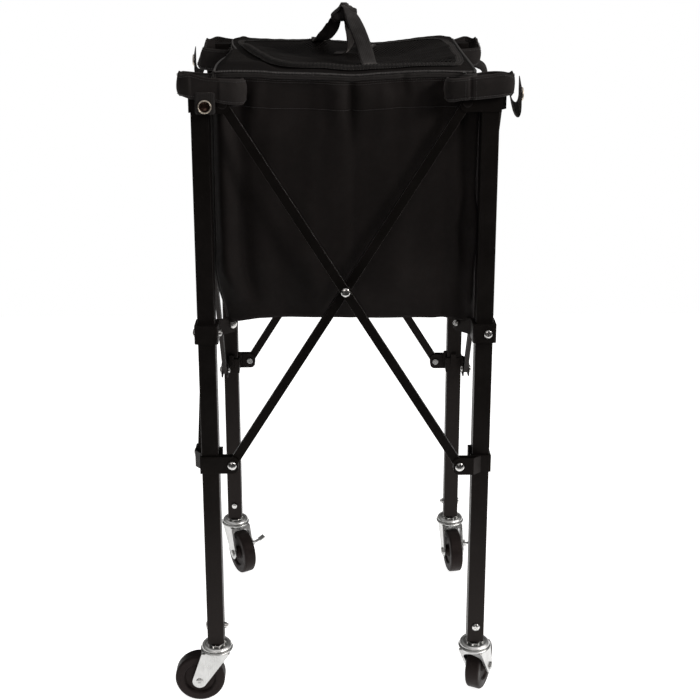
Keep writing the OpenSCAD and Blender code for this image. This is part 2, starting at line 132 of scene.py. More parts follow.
def thick_sheet(name, P, N, thick, uv, mats, flip=False):
    """A closed cloth sheet: P outside, P - N * thick inside, and a rim all round."""
    nu, nv = P.shape[:2]
    top, low = P.reshape(-1, 3), (P - N * thick).reshape(-1, 3)
    n = nu * nv
    faces = grid_faces(nu, nv)
    back = [tuple(reversed([n + i for i in f])) for f in faces]
    ring = ([i * nv for i in range(nu)] + [(nu - 1) * nv + j for j in range(1, nv)]
            + [i * nv + nv - 1 for i in range(nu - 2, -1, -1)] + [j for j in range(nv - 2, 0, -1)])
    rim = [(ring[i], n + ring[i], n + ring[(i + 1) % len(ring)], ring[(i + 1) % len(ring)]) for i in range(len(ring))]
    allf = faces + back + rim
    if flip:
        allf = [tuple(reversed(f)) for f in allf]
    u = np.asarray(uv, float).reshape(-1, 2)
    return new_object(name, np.vstack([top, low]), allf, np.vstack([u, u]), mats)


def spline(points, n, closed=False):
    """A smooth line through points, n samples, evenly spaced."""
    p = np.asarray(points, float)
    m = len(p)
    fine = []
    last = m if closed else m - 1
    for i in range(last):
        if closed:
            a, b, c, d = p[(i - 1) % m], p[i], p[(i + 1) % m], p[(i + 2) % m]
        else:
            a, b, c, d = p[max(i - 1, 0)], p[i], p[i + 1], p[min(i + 2, m - 1)]
        for t in np.linspace(0, 1, 24, endpoint=False):
            fine.append(0.5 * (2 * b + (c - a) * t + (2 * a - 5 * b + 4 * c - d) * t * t
                               + (3 * b - a - 3 * c + d) * t ** 3))
    if not closed:
        fine.append(p[-1])
    fine = np.array(fine)
    ring = np.vstack([fine, fine[:1]]) if closed else fine
    s = np.concatenate([[0], np.cumsum(np.linalg.norm(np.diff(ring, axis=0), axis=1))])
    at = np.linspace(0, s[-1], n, endpoint=not closed)
    return np.stack([np.interp(at, s, ring[:, k]) for k in range(p.shape[1])], axis=1)


def arc(line):
    return np.concatenate([[0], np.cumsum(np.linalg.norm(np.diff(line, axis=0), axis=1))])


def tangents(line):
    t = np.gradient(line, axis=0)
    return t / np.maximum(np.linalg.norm(t, axis=1, keepdims=True), 1e-12)


def tube(name, line, radius, sides, mats, bead=0.0, pitch=0.002):
    """A round cord along a line, with beads along it if asked."""
    line = np.asarray(line, float)
    t = tangents(line)
    up = np.array([0.0, 0.0, 1.0])
    s = arc(line)
    verts, uv = [], []
    for i, p in enumerate(line):
        a = np.cross(t[i], up)
        if np.linalg.norm(a) < 1e-3:
            a = np.cross(t[i], np.array([1.0, 0, 0]))
        a /= np.linalg.norm(a)
        b = np.cross(a, t[i])
        r = radius * (1 + bead * math.cos(2 * math.pi * s[i] / pitch))
        for j in range(sides):
            q = 2 * math.pi * j / sides
            verts.append(p + r * (math.cos(q) * a + math.sin(q) * b))
            uv.append((s[i], q / (2 * math.pi) * 2 * math.pi * radius))
    n = len(line)
    faces = []
    for i in range(n - 1):
        for j in range(sides):
            k = (j + 1) % sides
            faces.append((i * sides + j, i * sides + k, (i + 1) * sides + k, (i + 1) * sides + j))
    faces.append(tuple(reversed(range(sides))))
    faces.append(tuple((n - 1) * sides + j for j in range(sides)))
    return new_object(name, verts, [tuple(reversed(f)) for f in faces], uv, mats)


def ribbon(name, line, across, width, thick, mats, seg=8, crown=0.0, edge=0.0006, width_of=None, wave=None):
    """Flat webbing along a line. across is the unit direction of its width at each point."""
    line, across = np.asarray(line, float), np.asarray(across, float)
    t = tangents(line)
    s = arc(line)
    nrm = np.cross(t, across)
    nrm /= np.maximum(np.linalg.norm(nrm, axis=1, keepdims=True), 1e-12)
    prof = []
    for j in range(seg + 1):
        w = -0.5 + j / seg
        soft = 1 - smooth(0.40, 0.5, abs(w)) * 0.55
        prof.append((w, soft))
    sect = [(w, +1, e) for w, e in prof] + [(w, -1, e) for w, e in reversed(prof)]
    verts, uv = [], []
    for i, p in enumerate(line):
        wd = width if width_of is None else width * width_of(i / (len(line) - 1))
        for w, side, e in sect:
            c = crown * (1 - (2 * w) ** 2)
            off = side * thick / 2 * e + c
            if wave is not None:
                off += wave(i / (len(line) - 1), w)
            verts.append(p + across[i] * w * wd + nrm[i] * off)
            uv.append((s[i], w * wd))
    m = len(sect)
    faces = []
    for i in range(len(line) - 1):
        for j in range(m):
            k = (j + 1) % m
            faces.append((i * m + j, i * m + k, (i + 1) * m + k, (i + 1) * m + j))
    faces.append(tuple(reversed(range(m))))
    faces.append(tuple((len(line) - 1) * m + j for j in range(m)))
    o = new_object(name, verts, faces, uv, mats)
    fix_normals(o)
    return o


def fix_normals(o):
    bm = bmesh.new()
    bm.from_mesh(o.data)
    bmesh.ops.recalc_face_normals(bm, faces=bm.faces)
    bm.to_mesh(o.data)
    bm.free()


def stitches(name, line, normal, mat, step=0.0034, length=0.0024, radius=0.00034):
    """A row of sewn stitches that lie on a surface."""
    line, normal = np.asarray(line, float), np.asarray(normal, float)
    s = arc(line)
    count = max(1, int(s[-1] / step))
    verts, faces = [], []
    for q in range(count):
        c = (q + 0.5) * step
        p = np.array([np.interp(c, s, line[:, k]) for k in range(3)])
        d = np.array([np.interp(min(c + 0.001, s[-1]), s, line[:, k]) - np.interp(max(c - 0.001, 0), s, line[:, k]) for k in range(3)])
        d /= max(np.linalg.norm(d), 1e-9)
        nn = np.array([np.interp(c, s, normal[:, k]) for k in range(3)])
        nn -= d * (nn @ d)
        nn /= max(np.linalg.norm(nn), 1e-9)
        b = np.cross(nn, d)
        base = len(verts)
        rings = [(-0.5, 0.25), (-0.25, 0.9), (0.0, 1.0), (0.25, 0.9), (0.5, 0.25)]
        for a, r in rings:
            lift = radius * (0.55 - 1.6 * a * a)
            for j in range(5):
                g = 2 * math.pi * j / 5
                verts.append(p + d * a * length + (b * math.cos(g) * 1.25 + nn * math.sin(g)) * radius * r + nn * lift)
        for i in range(4):
            for j in range(5):
                k = (j + 1) % 5
                faces.append((base + i * 5 + j, base + i * 5 + k, base + (i + 1) * 5 + k, base + (i + 1) * 5 + j))
        faces.append(tuple(base + j for j in (4, 3, 2, 1, 0)))
        faces.append(tuple(base + 20 + j for j in range(5)))
    o = new_object(name, verts, faces, None, (mat,))
    fix_normals(o)
    return o


def join(name, objs):
    """Several meshes as one piece; each keeps its materials."""
    bm = bmesh.new()
    mats, uvs = [], any(o.data.uv_layers for o in objs)
    me = bpy.data.meshes.new(name)
    for o in objs:
        local = []
        for m in o.data.materials:
            if m not in mats:
                mats.append(m)
            local.append(mats.index(m))
        o.data.transform(o.matrix_world)
        if uvs and not o.data.uv_layers:
            o.data.uv_layers.new(name="UVMap")
        ids = np.zeros(len(o.data.polygons), np.int32)
        o.data.polygons.foreach_get("material_index", ids)
        o.data.polygons.foreach_set("material_index", np.array(local or [0], np.int32)[ids])
        bm.from_mesh(o.data)
    bm.to_mesh(me)
    bm.free()
    for m in mats:
        me.materials.append(m)
    for o in list(objs):
        bpy.data.objects.remove(o)
    out = bpy.data.objects.new(name, me)
    SCENE.collection.objects.link(out)
    return out


# ------------------------------------------------------------------ materials
class Mat:
    """A Principled material built from nodes."""

    def __init__(self, name, metallic=0.0, roughness=0.5, colour=(0.5, 0.5, 0.5)):
        self.m = bpy.data.materials.new(name)
        self.m.use_nodes = True
        self.t = self.m.node_tree
        self.t.nodes.clear()
        out = self.t.nodes.new("ShaderNodeOutputMaterial")
        self.b = self.t.nodes.new("ShaderNodeBsdfPrincipled")
        self.t.links.new(self.b.outputs[0], out.inputs[0])
        self.b.inputs["Metallic"].default_value = metallic
        self.b.inputs["Roughness"].default_value = roughness
        self.b.inputs["Base Color"].default_value = (*colour, 1)
        self.co = self.t.nodes.new("ShaderNodeTexCoord")
        self.normal = None

    def set(self, **kw):
        for k, v in kw.items():
            self.b.inputs[k.replace("_", " ")].default_value = v
        return self

    def node(self, kind, **kw):
        n = self.t.nodes.new(kind)
        for k, v in kw.items():
            if k in n.inputs.keys():
                n.inputs[k].default_value = v
            else:
                setattr(n, k, v)
        return n

    def link(self, a, b):
        self.t.links.new(a, b)

    def noise(self, scale, detail=3.0, rough=0.55, space="Object", stretch=None):
        n = self.node("ShaderNodeTexNoise", Scale=scale, Detail=detail, Roughness=rough)
        src = self.co.outputs[space]
        if stretch:
            mp = self.node("ShaderNodeMapping")
            mp.inputs["Scale"].default_value = stretch
            self.link(src, mp.inputs["Vector"])
            src = mp.outputs[0]
        self.link(src, n.inputs["Vector"])
        return n.outputs["Fac"]

    def wave(self, period, axis="X", space="UV", distort=0.0):
        w = self.node("ShaderNodeTexWave", wave_type="BANDS", bands_direction=axis)
        w.inputs["Scale"].default_value = 0.31416 / period
        w.inputs["Distortion"].default_value = distort
        w.inputs["Detail"].default_value = 1.0
        w.inputs["Detail Scale"].default_value = 1.5
        self.link(self.co.outputs[space], w.inputs["Vector"])
        return w.outputs["Fac"]

    def math(self, op, a, b=None, clamp=False):
        n = self.node("ShaderNodeMath", operation=op, use_clamp=clamp)
        for i, v in enumerate((a, b)):
            if v is None:
                continue
            if isinstance(v, (int, float)):
                n.inputs[i].default_value = v
            else:
                self.link(v, n.inputs[i])
        return n.outputs[0]

    def ramp(self, fac, stops):
        r = self.node("ShaderNodeValToRGB")
        e = r.color_ramp.elements
        while len(e) < len(stops):
            e.new(0.5)
        for el, (p, c) in zip(e, stops):
            el.position = p
            el.color = (*c, 1) if len(c) == 3 else c
        self.link(fac, r.inputs["Fac"])
        return r.outputs["Color"]

    def range(self, fac, lo, hi, a=0.0, b=1.0):
        n = self.node("ShaderNodeMapRange")
        for k, v in (("From Min", a), ("From Max", b), ("To Min", lo), ("To Max", hi)):
            n.inputs[k].default_value = v
        self.link(fac, n.inputs["Value"])
        return n.outputs["Result"]

    def mix(self, fac, a, b):
        n = self.node("ShaderNodeMix", data_type="RGBA")
        if isinstance(fac, (int, float)):
            n.inputs[0].default_value = fac
        else:
            self.link(fac, n.inputs[0])
        for i, v in ((6, a), (7, b)):
            if isinstance(v, tuple):
                n.inputs[i].default_value = (*v, 1)
            else:
                self.link(v, n.inputs[i])
        return n.outputs[2]

    def colour(self, out):
        self.link(out, self.b.inputs["Base Color"])

    def rough(self, out):
        self.link(out, self.b.inputs["Roughness"])

    def bump(self, height, dist, strength=1.0):
        n = self.node("ShaderNodeBump")
        n.inputs["Strength"].default_value = strength
        n.inputs["Distance"].default_value = dist
        self.link(height, n.inputs["Height"])
        if self.normal is not None:
            self.link(self.normal, n.inputs["Normal"])
        self.normal = n.outputs[0]
        self.link(self.normal, self.b.inputs["Normal"])


def paint_material(name="frame_paint", spec=0.17):
    """Satin black powder coat on steel: fine orange peel, dust and rubbed patches."""
    k = Mat(name, roughness=0.42)
    k.set(Specular_IOR_Level=spec)
    k.b.inputs["Specular Tint"].default_value = (1.0, 0.84, 0.80, 1)
    patch = k.noise(16, 4, 0.6)
    dust = k.noise(90, 5, 0.7)
    tone = k.ramp(patch, [(0.3, (0.0052, 0.0047, 0.0042)), (0.62, (0.0074, 0.0066, 0.0061)), (0.8, (0.0115, 0.0102, 0.0095))])
    k.colour(k.mix(k.range(dust, 0.0, 0.5, 0.55, 0.85), tone, (0.017, 0.0150, 0.0138)))
    k.rough(k.range(k.math("ADD", k.math("MULTIPLY", patch, 0.6), k.math("MULTIPLY", dust, 0.4)), 0.34, 0.56, 0.25, 0.75))
    k.bump(k.noise(1500, 2, 0.5), 0.00006, 0.35)
    k.bump(k.noise(260, 2, 0.5), 0.00012, 0.16)
    return k.m


def cloth_material(name="hopper_cloth", tint=(0.0132, 0.0108, 0.0103), thread=0.0011, rough=0.78, sheen=0.18, spec=0.14):
    """Black coated woven polyester: plain weave and creases from packing, with broad darker and paler patches at
    random painted in as the light and shade of folds, and a finer pale mottle.
    """
    k = Mat(name, roughness=rough)
    k.set(Sheen_Weight=sheen * 0.25, Sheen_Roughness=0.45, Specular_IOR_Level=spec)
    k.b.inputs["Sheen Tint"].default_value = (0.9, 0.82, 0.78, 1)
    warp, weft = k.wave(thread, "X"), k.wave(thread, "Y")
    weave = k.math("ADD", k.math("MULTIPLY", warp, 0.5), k.math("MULTIPLY", weft, 0.5))
    painted_fold_shade, fine = k.noise(8, 4, 0.6), k.noise(70, 4, 0.65)
    dark = tuple(c * 0.55 for c in tint)
    pale = tuple(c * 1.80 for c in tint)
    # painted light and shade: broad darker and paler patches stand in for the shading of folds
    tone = k.ramp(painted_fold_shade, [(0.28, dark), (0.55, tint), (0.82, pale)])
    tone = k.mix(k.range(fine, 0.0, 0.45, 0.5, 0.8), tone, pale)
    k.colour(k.mix(k.range(weave, 0.0, 0.35, 0.35, 1.0), tone, tuple(c * 1.9 for c in tint)))
    k.rough(k.range(fine, rough - 0.08, rough + 0.12, 0.3, 0.7))
    k.bump(weave, 0.00022, 0.55)
    k.bump(k.noise(300, 3, 0.6), 0.00025, 0.3)
    k.bump(k.noise(34, 3, 0.55), 0.0022, 0.22)
    return k.m


def webbing_material(name="webbing", tint=(0.021, 0.0182, 0.0175), rib=0.0026, pick=0.0019, sheen=0.22, spec=0.35, depth=0.45):
    """Woven polypropylene webbing: ribs along the strap and a herringbone across."""
    k = Mat(name, roughness=0.66)
    k.set(Sheen_Weight=sheen, Sheen_Roughness=0.4, Specular_IOR_Level=spec)
    k.b.inputs["Sheen Tint"].default_value = (0.92, 0.86, 0.82, 1)
    ribs, picks = k.wave(rib, "Y"), k.wave(pick, "X", distort=0.6)
    h = k.math("ADD", k.math("MULTIPLY", ribs, 0.55), k.math("MULTIPLY", picks, 0.45))
    fine = k.noise(120, 4, 0.65)
    k.colour(k.mix(k.range(h, 0.0, 0.8, 0.2, 0.95), tuple(c * (1 - depth) for c in tint), tuple(c * (1 + depth) for c in tint)))
    k.rough(k.range(fine, 0.55, 0.8, 0.3, 0.7))
    k.bump(h, 0.0005, 0.6)
    k.bump(k.noise(500, 2, 0.6), 0.0002, 0.3)
    return k.m


def net_material():
    """Knitted polyester net."""
    k = Mat("mesh_cloth", roughness=0.6)
    k.set(Sheen_Weight=0.02, Sheen_Roughness=0.4, Specular_IOR_Level=0.11)
    f = k.noise(420, 3, 0.6)
    k.colour(k.ramp(f, [(0.3, (0.0050, 0.0042, 0.0040)), (0.7, (0.016, 0.0136, 0.0128))]))
    k.rough(k.range(f, 0.5, 0.72, 0.3, 0.7))
    k.bump(k.noise(1800, 2, 0.6), 0.0002, 0.5)
    return k.m


def thread_material():
    k = Mat("sewing_thread", roughness=0.55)
    k.set(Sheen_Weight=0.2)
    f = k.noise(900, 2, 0.6)
    k.colour(k.ramp(f, [(0.3, (0.010, 0.009, 0.009)), (0.7, (0.034, 0.030, 0.029))]))
    k.bump(k.noise(2600, 2, 0.5), 0.0001, 0.5)
    return k.m


def coil_highlight_material():
    """Nylon zip coil painted pale grey: a painted highlight, the line of light along the zip."""
    k = Mat("zip_coil", roughness=0.38)
    f = k.noise(160, 4, 0.6)
    k.colour(k.ramp(f, [(0.25, (0.022, 0.0202, 0.0196)), (0.75, (0.078, 0.0725, 0.0700))]))
    k.rough(k.range(f, 0.28, 0.5, 0.3, 0.7))
    k.bump(k.noise(1200, 2, 0.5), 0.0001, 0.4)
    return k.m


def zinc_material():
    """Zinc plated pressed sheet: bright, faintly clouded, drawn along the press."""
    k = Mat("zinc_sheet", metallic=1.0, roughness=0.3)
    cloud, grain = k.noise(38, 4, 0.6), k.noise(420, 3, 0.6, stretch=(1, 1, 0.18))
    tone = k.ramp(cloud, [(0.25, (0.42, 0.422, 0.415)), (0.55, (0.56, 0.562, 0.555)), (0.85, (0.66, 0.662, 0.66))])
    k.colour(k.mix(k.range(grain, 0.0, 0.35, 0.45, 0.8), tone, (0.36, 0.36, 0.35)))
    k.rough(k.range(k.math("ADD", k.math("MULTIPLY", cloud, 0.5), k.math("MULTIPLY", grain, 0.5)), 0.20, 0.44, 0.3, 0.7))
    k.bump(grain, 0.00008, 0.4)
    k.bump(k.noise(110, 3, 0.5), 0.0003, 0.12)
    return k.m


def chrome_material():
    k = Mat("chrome_race", metallic=1.0, roughness=0.36)
    cloud = k.noise(120, 4, 0.6)
    k.colour(k.ramp(cloud, [(0.3, (0.72, 0.722, 0.71)), (0.7, (0.88, 0.882, 0.87))]))
    k.rough(k.range(cloud, 0.28, 0.46, 0.3, 0.75))
    k.bump(k.noise(900, 2, 0.5), 0.00004, 0.3)
    return k.m


def steel_material():
    k = Mat("bright_steel", metallic=1.0, roughness=0.24)
    cloud, scuff = k.noise(220, 4, 0.6), k.noise(700, 3, 0.6, stretch=(1, 0.2, 1))
    k.colour(k.ramp(cloud, [(0.28, (0.48, 0.475, 0.465)), (0.7, (0.74, 0.735, 0.725))]))
    k.rough(k.range(scuff, 0.15, 0.38, 0.3, 0.72))
    k.bump(scuff, 0.00005, 0.4)
    return k.m


def rubber_material():
    """Moulded black wheel with a brown cast, scuffed and dusty tread."""
    k = Mat("wheel_rubber", roughness=0.5)
    k.set(Specular_IOR_Level=0.15)
    k.b.inputs["Specular Tint"].default_value = (1.0, 0.80, 0.77, 1)
    dust, patch = k.noise(60, 5, 0.7), k.noise(22, 4, 0.6)
    tone = k.ramp(patch, [(0.3, (0.0066, 0.0050, 0.0047)), (0.65, (0.0100, 0.0078, 0.0074)), (0.85, (0.0155, 0.0128, 0.0120))])
    k.colour(k.mix(k.range(dust, 0.0, 0.55, 0.52, 0.8), tone, (0.028, 0.0240, 0.0225)))
    k.rough(k.range(dust, 0.38, 0.68, 0.3, 0.7))
    k.bump(k.noise(800, 3, 0.6), 0.00012, 0.35)
    k.bump(k.noise(130, 3, 0.6), 0.0004, 0.2)
    return k.m


def zip_metal_material():
    k = Mat("zip_metal", metallic=1.0, roughness=0.22)
    f = k.noise(350, 3, 0.6)
    k.colour(k.ramp(f, [(0.3, (0.55, 0.55, 0.54)), (0.7, (0.84, 0.84, 0.83))]))
    k.rough(k.range(f, 0.14, 0.32, 0.3, 0.7))
    k.bump(k.noise(1500, 2, 0.5), 0.00004, 0.3)
    return k.m


PAINT, CLOTH, WEB, NET = paint_material(), cloth_material(), webbing_material(), net_material()
BARP = paint_material("bar_paint", 0.13)
THREAD, COIL_HIGHLIGHT, ZINC, CHROME = thread_material(), coil_highlight_material(), zinc_material(), chrome_material()
STEEL, RUBBER, ZIPM = steel_material(), rubber_material(), zip_metal_material()
# the lid's cloth is the walls' fabric painted about half as dark: painted shade, as the lamps light the lid's top more
# than the walls
BORDER = cloth_material("lid_cloth", (0.0068, 0.0056, 0.0053), 0.0012, 0.80, 0.05, 0.09)
BAND = cloth_material("loop_cloth", (0.021, 0.0182, 0.0175), 0.0013, 0.70, 0.28)
TAPEM = webbing_material("binding_tape", (0.0125, 0.0106, 0.0100), 0.0046, 0.0052, 0.08, 0.20, 0.85)


def bronze_material():
    """Dark lacquered press stud."""
    k = Mat("stud_bronze", metallic=1.0, roughness=0.3)
    f = k.noise(500, 3, 0.6)
    k.colour(k.ramp(f, [(0.3, (0.045, 0.026, 0.020)), (0.7, (0.10, 0.060, 0.046))]))
    k.rough(k.range(f, 0.22, 0.42, 0.3, 0.7))
    k.bump(k.noise(1600, 2, 0.5), 0.00005, 0.3)
    return k.m


BRONZE = bronze_material()


def brass_material():
    """Satin rolled rim of the press stud."""
    k = Mat("stud_rim", metallic=1.0, roughness=0.45)
    f = k.noise(420, 3, 0.6)
    k.colour(k.ramp(f, [(0.3, (0.62, 0.54, 0.44)), (0.7, (0.86, 0.78, 0.67))]))
    k.rough(k.range(f, 0.36, 0.55, 0.3, 0.7))
    k.bump(k.noise(1600, 2, 0.5), 0.00004, 0.3)
    return k.m


BRASS = brass_material()


def finish_of(node):
    if node.startswith("bar_"):
        return BARP
    if node.startswith(("leg_", "collars_")) or node in ("slider_fl", "slider_fr", "slider_rr", "slider_rl"):
        return PAINT
    if node.startswith(("fasteners", "slider_pins", "rivet")):
        return STEEL
    if node.startswith("caster_stem"):
        return CHROME
    if node.startswith(("caster_fork", "brake")):
        return ZINC
    if node.startswith("wheel"):
        return RUBBER
    if node == "zip_pull":
        return ZIPM
    return CLOTH


for name, o in NODES.items():
    o.data.materials.clear()
    o.data.materials.append(finish_of(name))


def edge_round(node, width, seg=2):
    """Small rounded edges on a carried-over part."""
    o = NODES[node]
    w = o.modifiers.new("weld", "WELD")
    w.merge_threshold = 1e-6
    b = o.modifiers.new("edges", "BEVEL")
    b.width, b.segments, b.limit_method, b.angle_limit = width, seg, "ANGLE", math.radians(35)
    b.harden_normals = False
    b.use_clamp_overlap = True
    return b


def edge_highlight_material():
    """Paint made pale along the bars' edges: a painted highlight, the line of light along their rounded edges."""
    k = Mat("bar_edge", roughness=0.34)
    k.set(Specular_IOR_Level=0.6)
    f = k.noise(120, 4, 0.65)
    k.colour(k.ramp(f, [(0.32, (0.030, 0.0275, 0.0260)), (0.68, (0.110, 0.102, 0.0970))]))
    k.rough(k.range(f, 0.28, 0.46, 0.3, 0.7))
    k.bump(k.noise(900, 2, 0.5), 0.00004, 0.3)
    return k.m


EDGE_HIGHLIGHT = edge_highlight_material()
# the bars' bevel faces take the pale edge paint: a painted highlight
for s in SIDES:
    for n in (f"bar_{s}_outer", f"bar_{s}_inner"):
        NODES[n].data.materials.append(EDGE_HIGHLIGHT)
        edge_round(n, 0.0015, 3).material = 1
for c in CORNERS:
    edge_round(f"slider_{c}", 0.0006)
    edge_round(f"collars_{c}", 0.0007)
    edge_round(f"caster_fork_{c}", 0.0007)


# ------------------------------------------------------------------ heights along the rim
def profile(points):
    """A smooth height curve through (place, height) points."""
    line = spline(points, 160)
    return lambda x: float(np.interp(x, line[:, 0], line[:, 1]))


RIM_FRONT = profile([(-0.182, 0.9670), (-0.163, 0.9688), (-0.119, 0.9686), (-0.092, 0.9666), (-0.037, 0.9652), (0.012, 0.9630), (0.045, 0.9652),
                     (0.100, 0.9682), (0.135, 0.9684), (0.160, 0.9676), (0.182, 0.9670)])
RIM_BACK = profile([(-0.182, 0.9735), (-0.164, 0.9768), (-0.150, 0.9738), (-0.100, 0.9718), (-0.040, 0.9712), (0.0, 0.9692), (0.054, 0.9662),
                    (0.096, 0.9702), (0.145, 0.9762), (0.172, 0.9775), (0.182, 0.9755)])
RIM_LEFT = profile([(-0.182, 0.9670), (-0.10, 0.9676), (0.0, 0.9688), (0.10, 0.9702), (0.182, 0.9735)])
RIM_RIGHT = profile([(-0.182, 0.9670), (-0.10, 0.9678), (0.0, 0.9692), (0.10, 0.9716), (0.182, 0.9755)])


def rim_height(u):
    """Height of the rim at u, 0..4 round the hopper from the front left corner."""
    k, f = int(u) % 4, u - int(u)
    a = (f - 0.5) * 0.364
    return (RIM_FRONT(a), RIM_RIGHT(a), RIM_BACK(-a), RIM_LEFT(-a))[k]


# ------------------------------------------------------------------ hopper walls
def bag_corner(k, v):
    """Plan of a hopper corner at height share v: drawn in towards the corner ear at the foot."""
    low = ((-0.1715, -0.1715), (0.1895, -0.1785), (0.1740, 0.1720), (-0.1740, 0.1720))[k]
    mid = ((-0.1905, -0.1832), (0.1920, -0.1832), (0.1890, 0.1832), (-0.1890, 0.1832))[k]
    top = ((-0.1815, -0.1815), (0.1815, -0.1815), (0.1815, 0.1815), (-0.1815, 0.1815))[k]
    w, e = smooth(0.0, 0.27, v) ** 0.8, smooth(0.88, 1.0, v)
    return Vector([(low[i] + (mid[i] - low[i]) * w) * (1 - e) + top[i] * e for i in (0, 1)])


def corner_radius(v):
    return 0.010 + 0.020 * smooth(0.02, 0.35, v) - 0.012 * smooth(0.82, 1.0, v)


def wall_plan(u, v):
    """Point and outward normal in plan at u (0..4 round the hopper) and height share v."""
    k, f = int(u) % 4, u - int(u)
    a, b = bag_corner(k, v), bag_corner((k + 1) % 4, v)
    before, after = bag_corner((k - 1) % 4, v), bag_corner((k + 2) % 4, v)
    side = b - a
    length = side.length
    d = f * length
    r = corner_radius(v)
    dirn = side / length

    def bez(c, p_in, p_out, t):
        A, B = c + p_in * r, c + p_out * r
        return A * (1 - t) ** 2 + c * 2 * t * (1 - t) + B * t * t, ((c - A) * 2 * (1 - t) + (B - c) * 2 * t)

    if d < r:
        p, tan = bez(a, (before - a).normalized(), dirn, 0.5 + 0.5 * d / r)
    elif d > length - r:
        p, tan = bez(b, -dirn, (after - b).normalized(), 0.5 * (d - (length - r)) / r)
    else:
        p, tan = a + dirn * d, dirn
    tan = tan.normalized()
    return p, Vector((tan.y, -tan.x))


def wall_fold(u, v):
    """How far the cloth stands out from its plain shape, in metres."""
    k, f = int(u) % 4, u - int(u)
    x = (f - 0.5) * 2                      # -1..1 along the side
    ang = u * math.pi / 2
    cx, cy = math.cos(ang), math.sin(ang)
    inner = 1 - smooth(0.80, 1.0, abs(x)) * 0.75
    hang = 1 - smooth(0.94, 1.0, v)
    d = 0.0
    # belly between the corners, drawn flat at the rim
    d += 0.0050 * (1 - x * x) * math.sin(math.pi * min(1.0, v * 1.02)) ** 0.8
    # broad soft waves
    d += 0.0055 * n3(cx * 2.1 + 3.1, cy * 2.1, v * 2.4) * inner * hang
    d += 0.0040 * n3(cx * 5.0, cy * 5.0 + 7.7, v * 3.1 + 2.0) * inner * hang
    # upright folds that fade downwards, crowded under the rim
    d += 0.0016 * n3(cx * 13.0, cy * 13.0 + 1.3, v * 1.7 + 5.0) * hang * (0.35 + 0.65 * v)
    d += 0.0052 * n3(cx * 11.0 + 2.0, cy * 11.0, v * 2.6) * smooth(0.70, 0.88, v) * hang
    # gathers beside each corner, where the loops pull
    for side in (-1, 1):
        e = abs(x - side)
        if k == 0 and side < 0:
            # one long roll beside the leg, wider towards the foot, with a valley along it
            at = 0.105 + 0.030 * (1 - v)
            d += 0.0105 * bump(e, at, 0.060) * smooth(0.02, 0.20, v) * (1 - smooth(0.86, 0.97, v))
            d -= 0.0105 * bump(e, at + 0.125, 0.055) * smooth(0.02, 0.20, v) * (1 - smooth(0.86, 0.97, v)) * (0.8 + 0.3 * n3(1.0, 3.4, v * 4.0))
            continue
        g = bump(e, 0.17, 0.055) * (0.4 + 0.6 * smooth(0.05, 0.5, v)) * hang
        d += (0.0052 if side < 0 else 0.0042) * g * (0.75 + 0.5 * n3(k * 3.3 + side, 0.4, v * 4.0))
        d -= 0.0052 * bump(e, 0.275, 0.045) * hang * (0.5 + 0.5 * n3(k * 1.9 + side, 3.4, v * 3.0))
    # slanting pulls from the upper corners
    for side in (-1, 1):
        t = (1 - v) * 1.05
        line = side * (1 - 0.55 * t)
        d += 0.0018 * bump(x, line, 0.07) * smooth(0.0, 0.2, 1 - v) * (1 - smooth(0.55, 0.95, t))
    if k in (1, 3):
        # the sides roll outward just under the rim
        d += (0.0060 if k == 3 else 0.0030) * bump(v, 0.950, 0.045) * (1 - smooth(0.55, 0.95, abs(x)))
    if k == 0:
        # packing crease down the middle of the front
        c = x - 0.045 + 0.02 * (1 - v)
        d -= 0.0085 * bump(c, 0.0, 0.028) * smooth(0.66, 0.90, v) * hang
        d += 0.0062 * bump(c, -0.12, 0.075) * smooth(0.74, 0.90, v) * hang
        d += 0.0030 * bump(c, 0.17, 0.10) * smooth(0.84, 0.93, v) * hang
        d -= 0.0046 * bump(x, 0.445, 0.030) * bump(v, 0.955, 0.045)
        d -= 0.0040 * bump(x, -0.72, 0.035) * smooth(0.74, 0.90, v) * hang
        d += 0.0036 * bump(x, -0.635, 0.045) * smooth(0.74, 0.90, v) * hang
        d -= 0.0016 * bump(c, 0.02, 0.03) * (1 - smooth(0.60, 0.75, v))
        # a bent fold low on the right that points away from the leg
        kink = 0.885 + 0.50 * abs(v - 0.39)
        d += 0.0070 * smooth(0.0, 0.040, x - kink) * bump(v, 0.39, 0.20) * (1 - smooth(0.945, 0.99, x))
        d -= 0.0045 * bump(x, kink - 0.045, 0.035) * bump(v, 0.39, 0.22)
        # the cloth stands forward beside the right leg
        d += 0.0130 * bump(x, 0.935, 0.034) * smooth(0.01, 0.12, v) * (1 - smooth(0.86, 0.97, v))
        d -= 0.0045 * bump(x, 0.845, 0.045) * smooth(0.50, 0.70, v) * (1 - smooth(0.86, 0.97, v))
    return d


def wall_base(u):
    """Height of the lower edge: straight between the corners, dipping to each corner ear."""
    f = u - int(u)
    e = min(f, 1 - f)
    return 0.6105 - 0.0075 * (1 - smooth(0.0, 0.14, e))


def wall_top(u):
    f = u - int(u)
    # the back wall runs up behind the hem
    return rim_height(u) - 0.0025 + (0.0032 * smooth(0.0, 0.06, min(f, 1 - f)) if int(u) % 4 == 2 else 0.0)


def wall_point(u, v):
    u = u % 4
    p, n = wall_plan(u, v)
    d = wall_fold(u, v)
    if 3 <= u < 4:
        # the left side's hem folds in over the rim
        d -= 0.0170 * bump(p.y, 0.045, 0.075) * smooth(0.955, 1.0, v)
    z = wall_base(u) + (wall_top(u) - wall_base(u)) * v
    return (p.x + n.x * d, p.y + n.y * d, z)


NU, NV = 92, 84
WALLS = {}
for k, side in enumerate(SIDES):
    us = np.linspace(k, k + 1, NU)
    vs = np.linspace(0, 1, NV)
    WALLS[side] = np.array([[wall_point(u if u < k + 1 else (k + 1) % 4, v) for v in vs] for u in us])
RING = np.concatenate([WALLS[s][:-1] for s in SIDES])
RING_N = grid_normals(RING, wrap=True)


def ride_squash(o, body):
    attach(o, body)
    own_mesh(o)


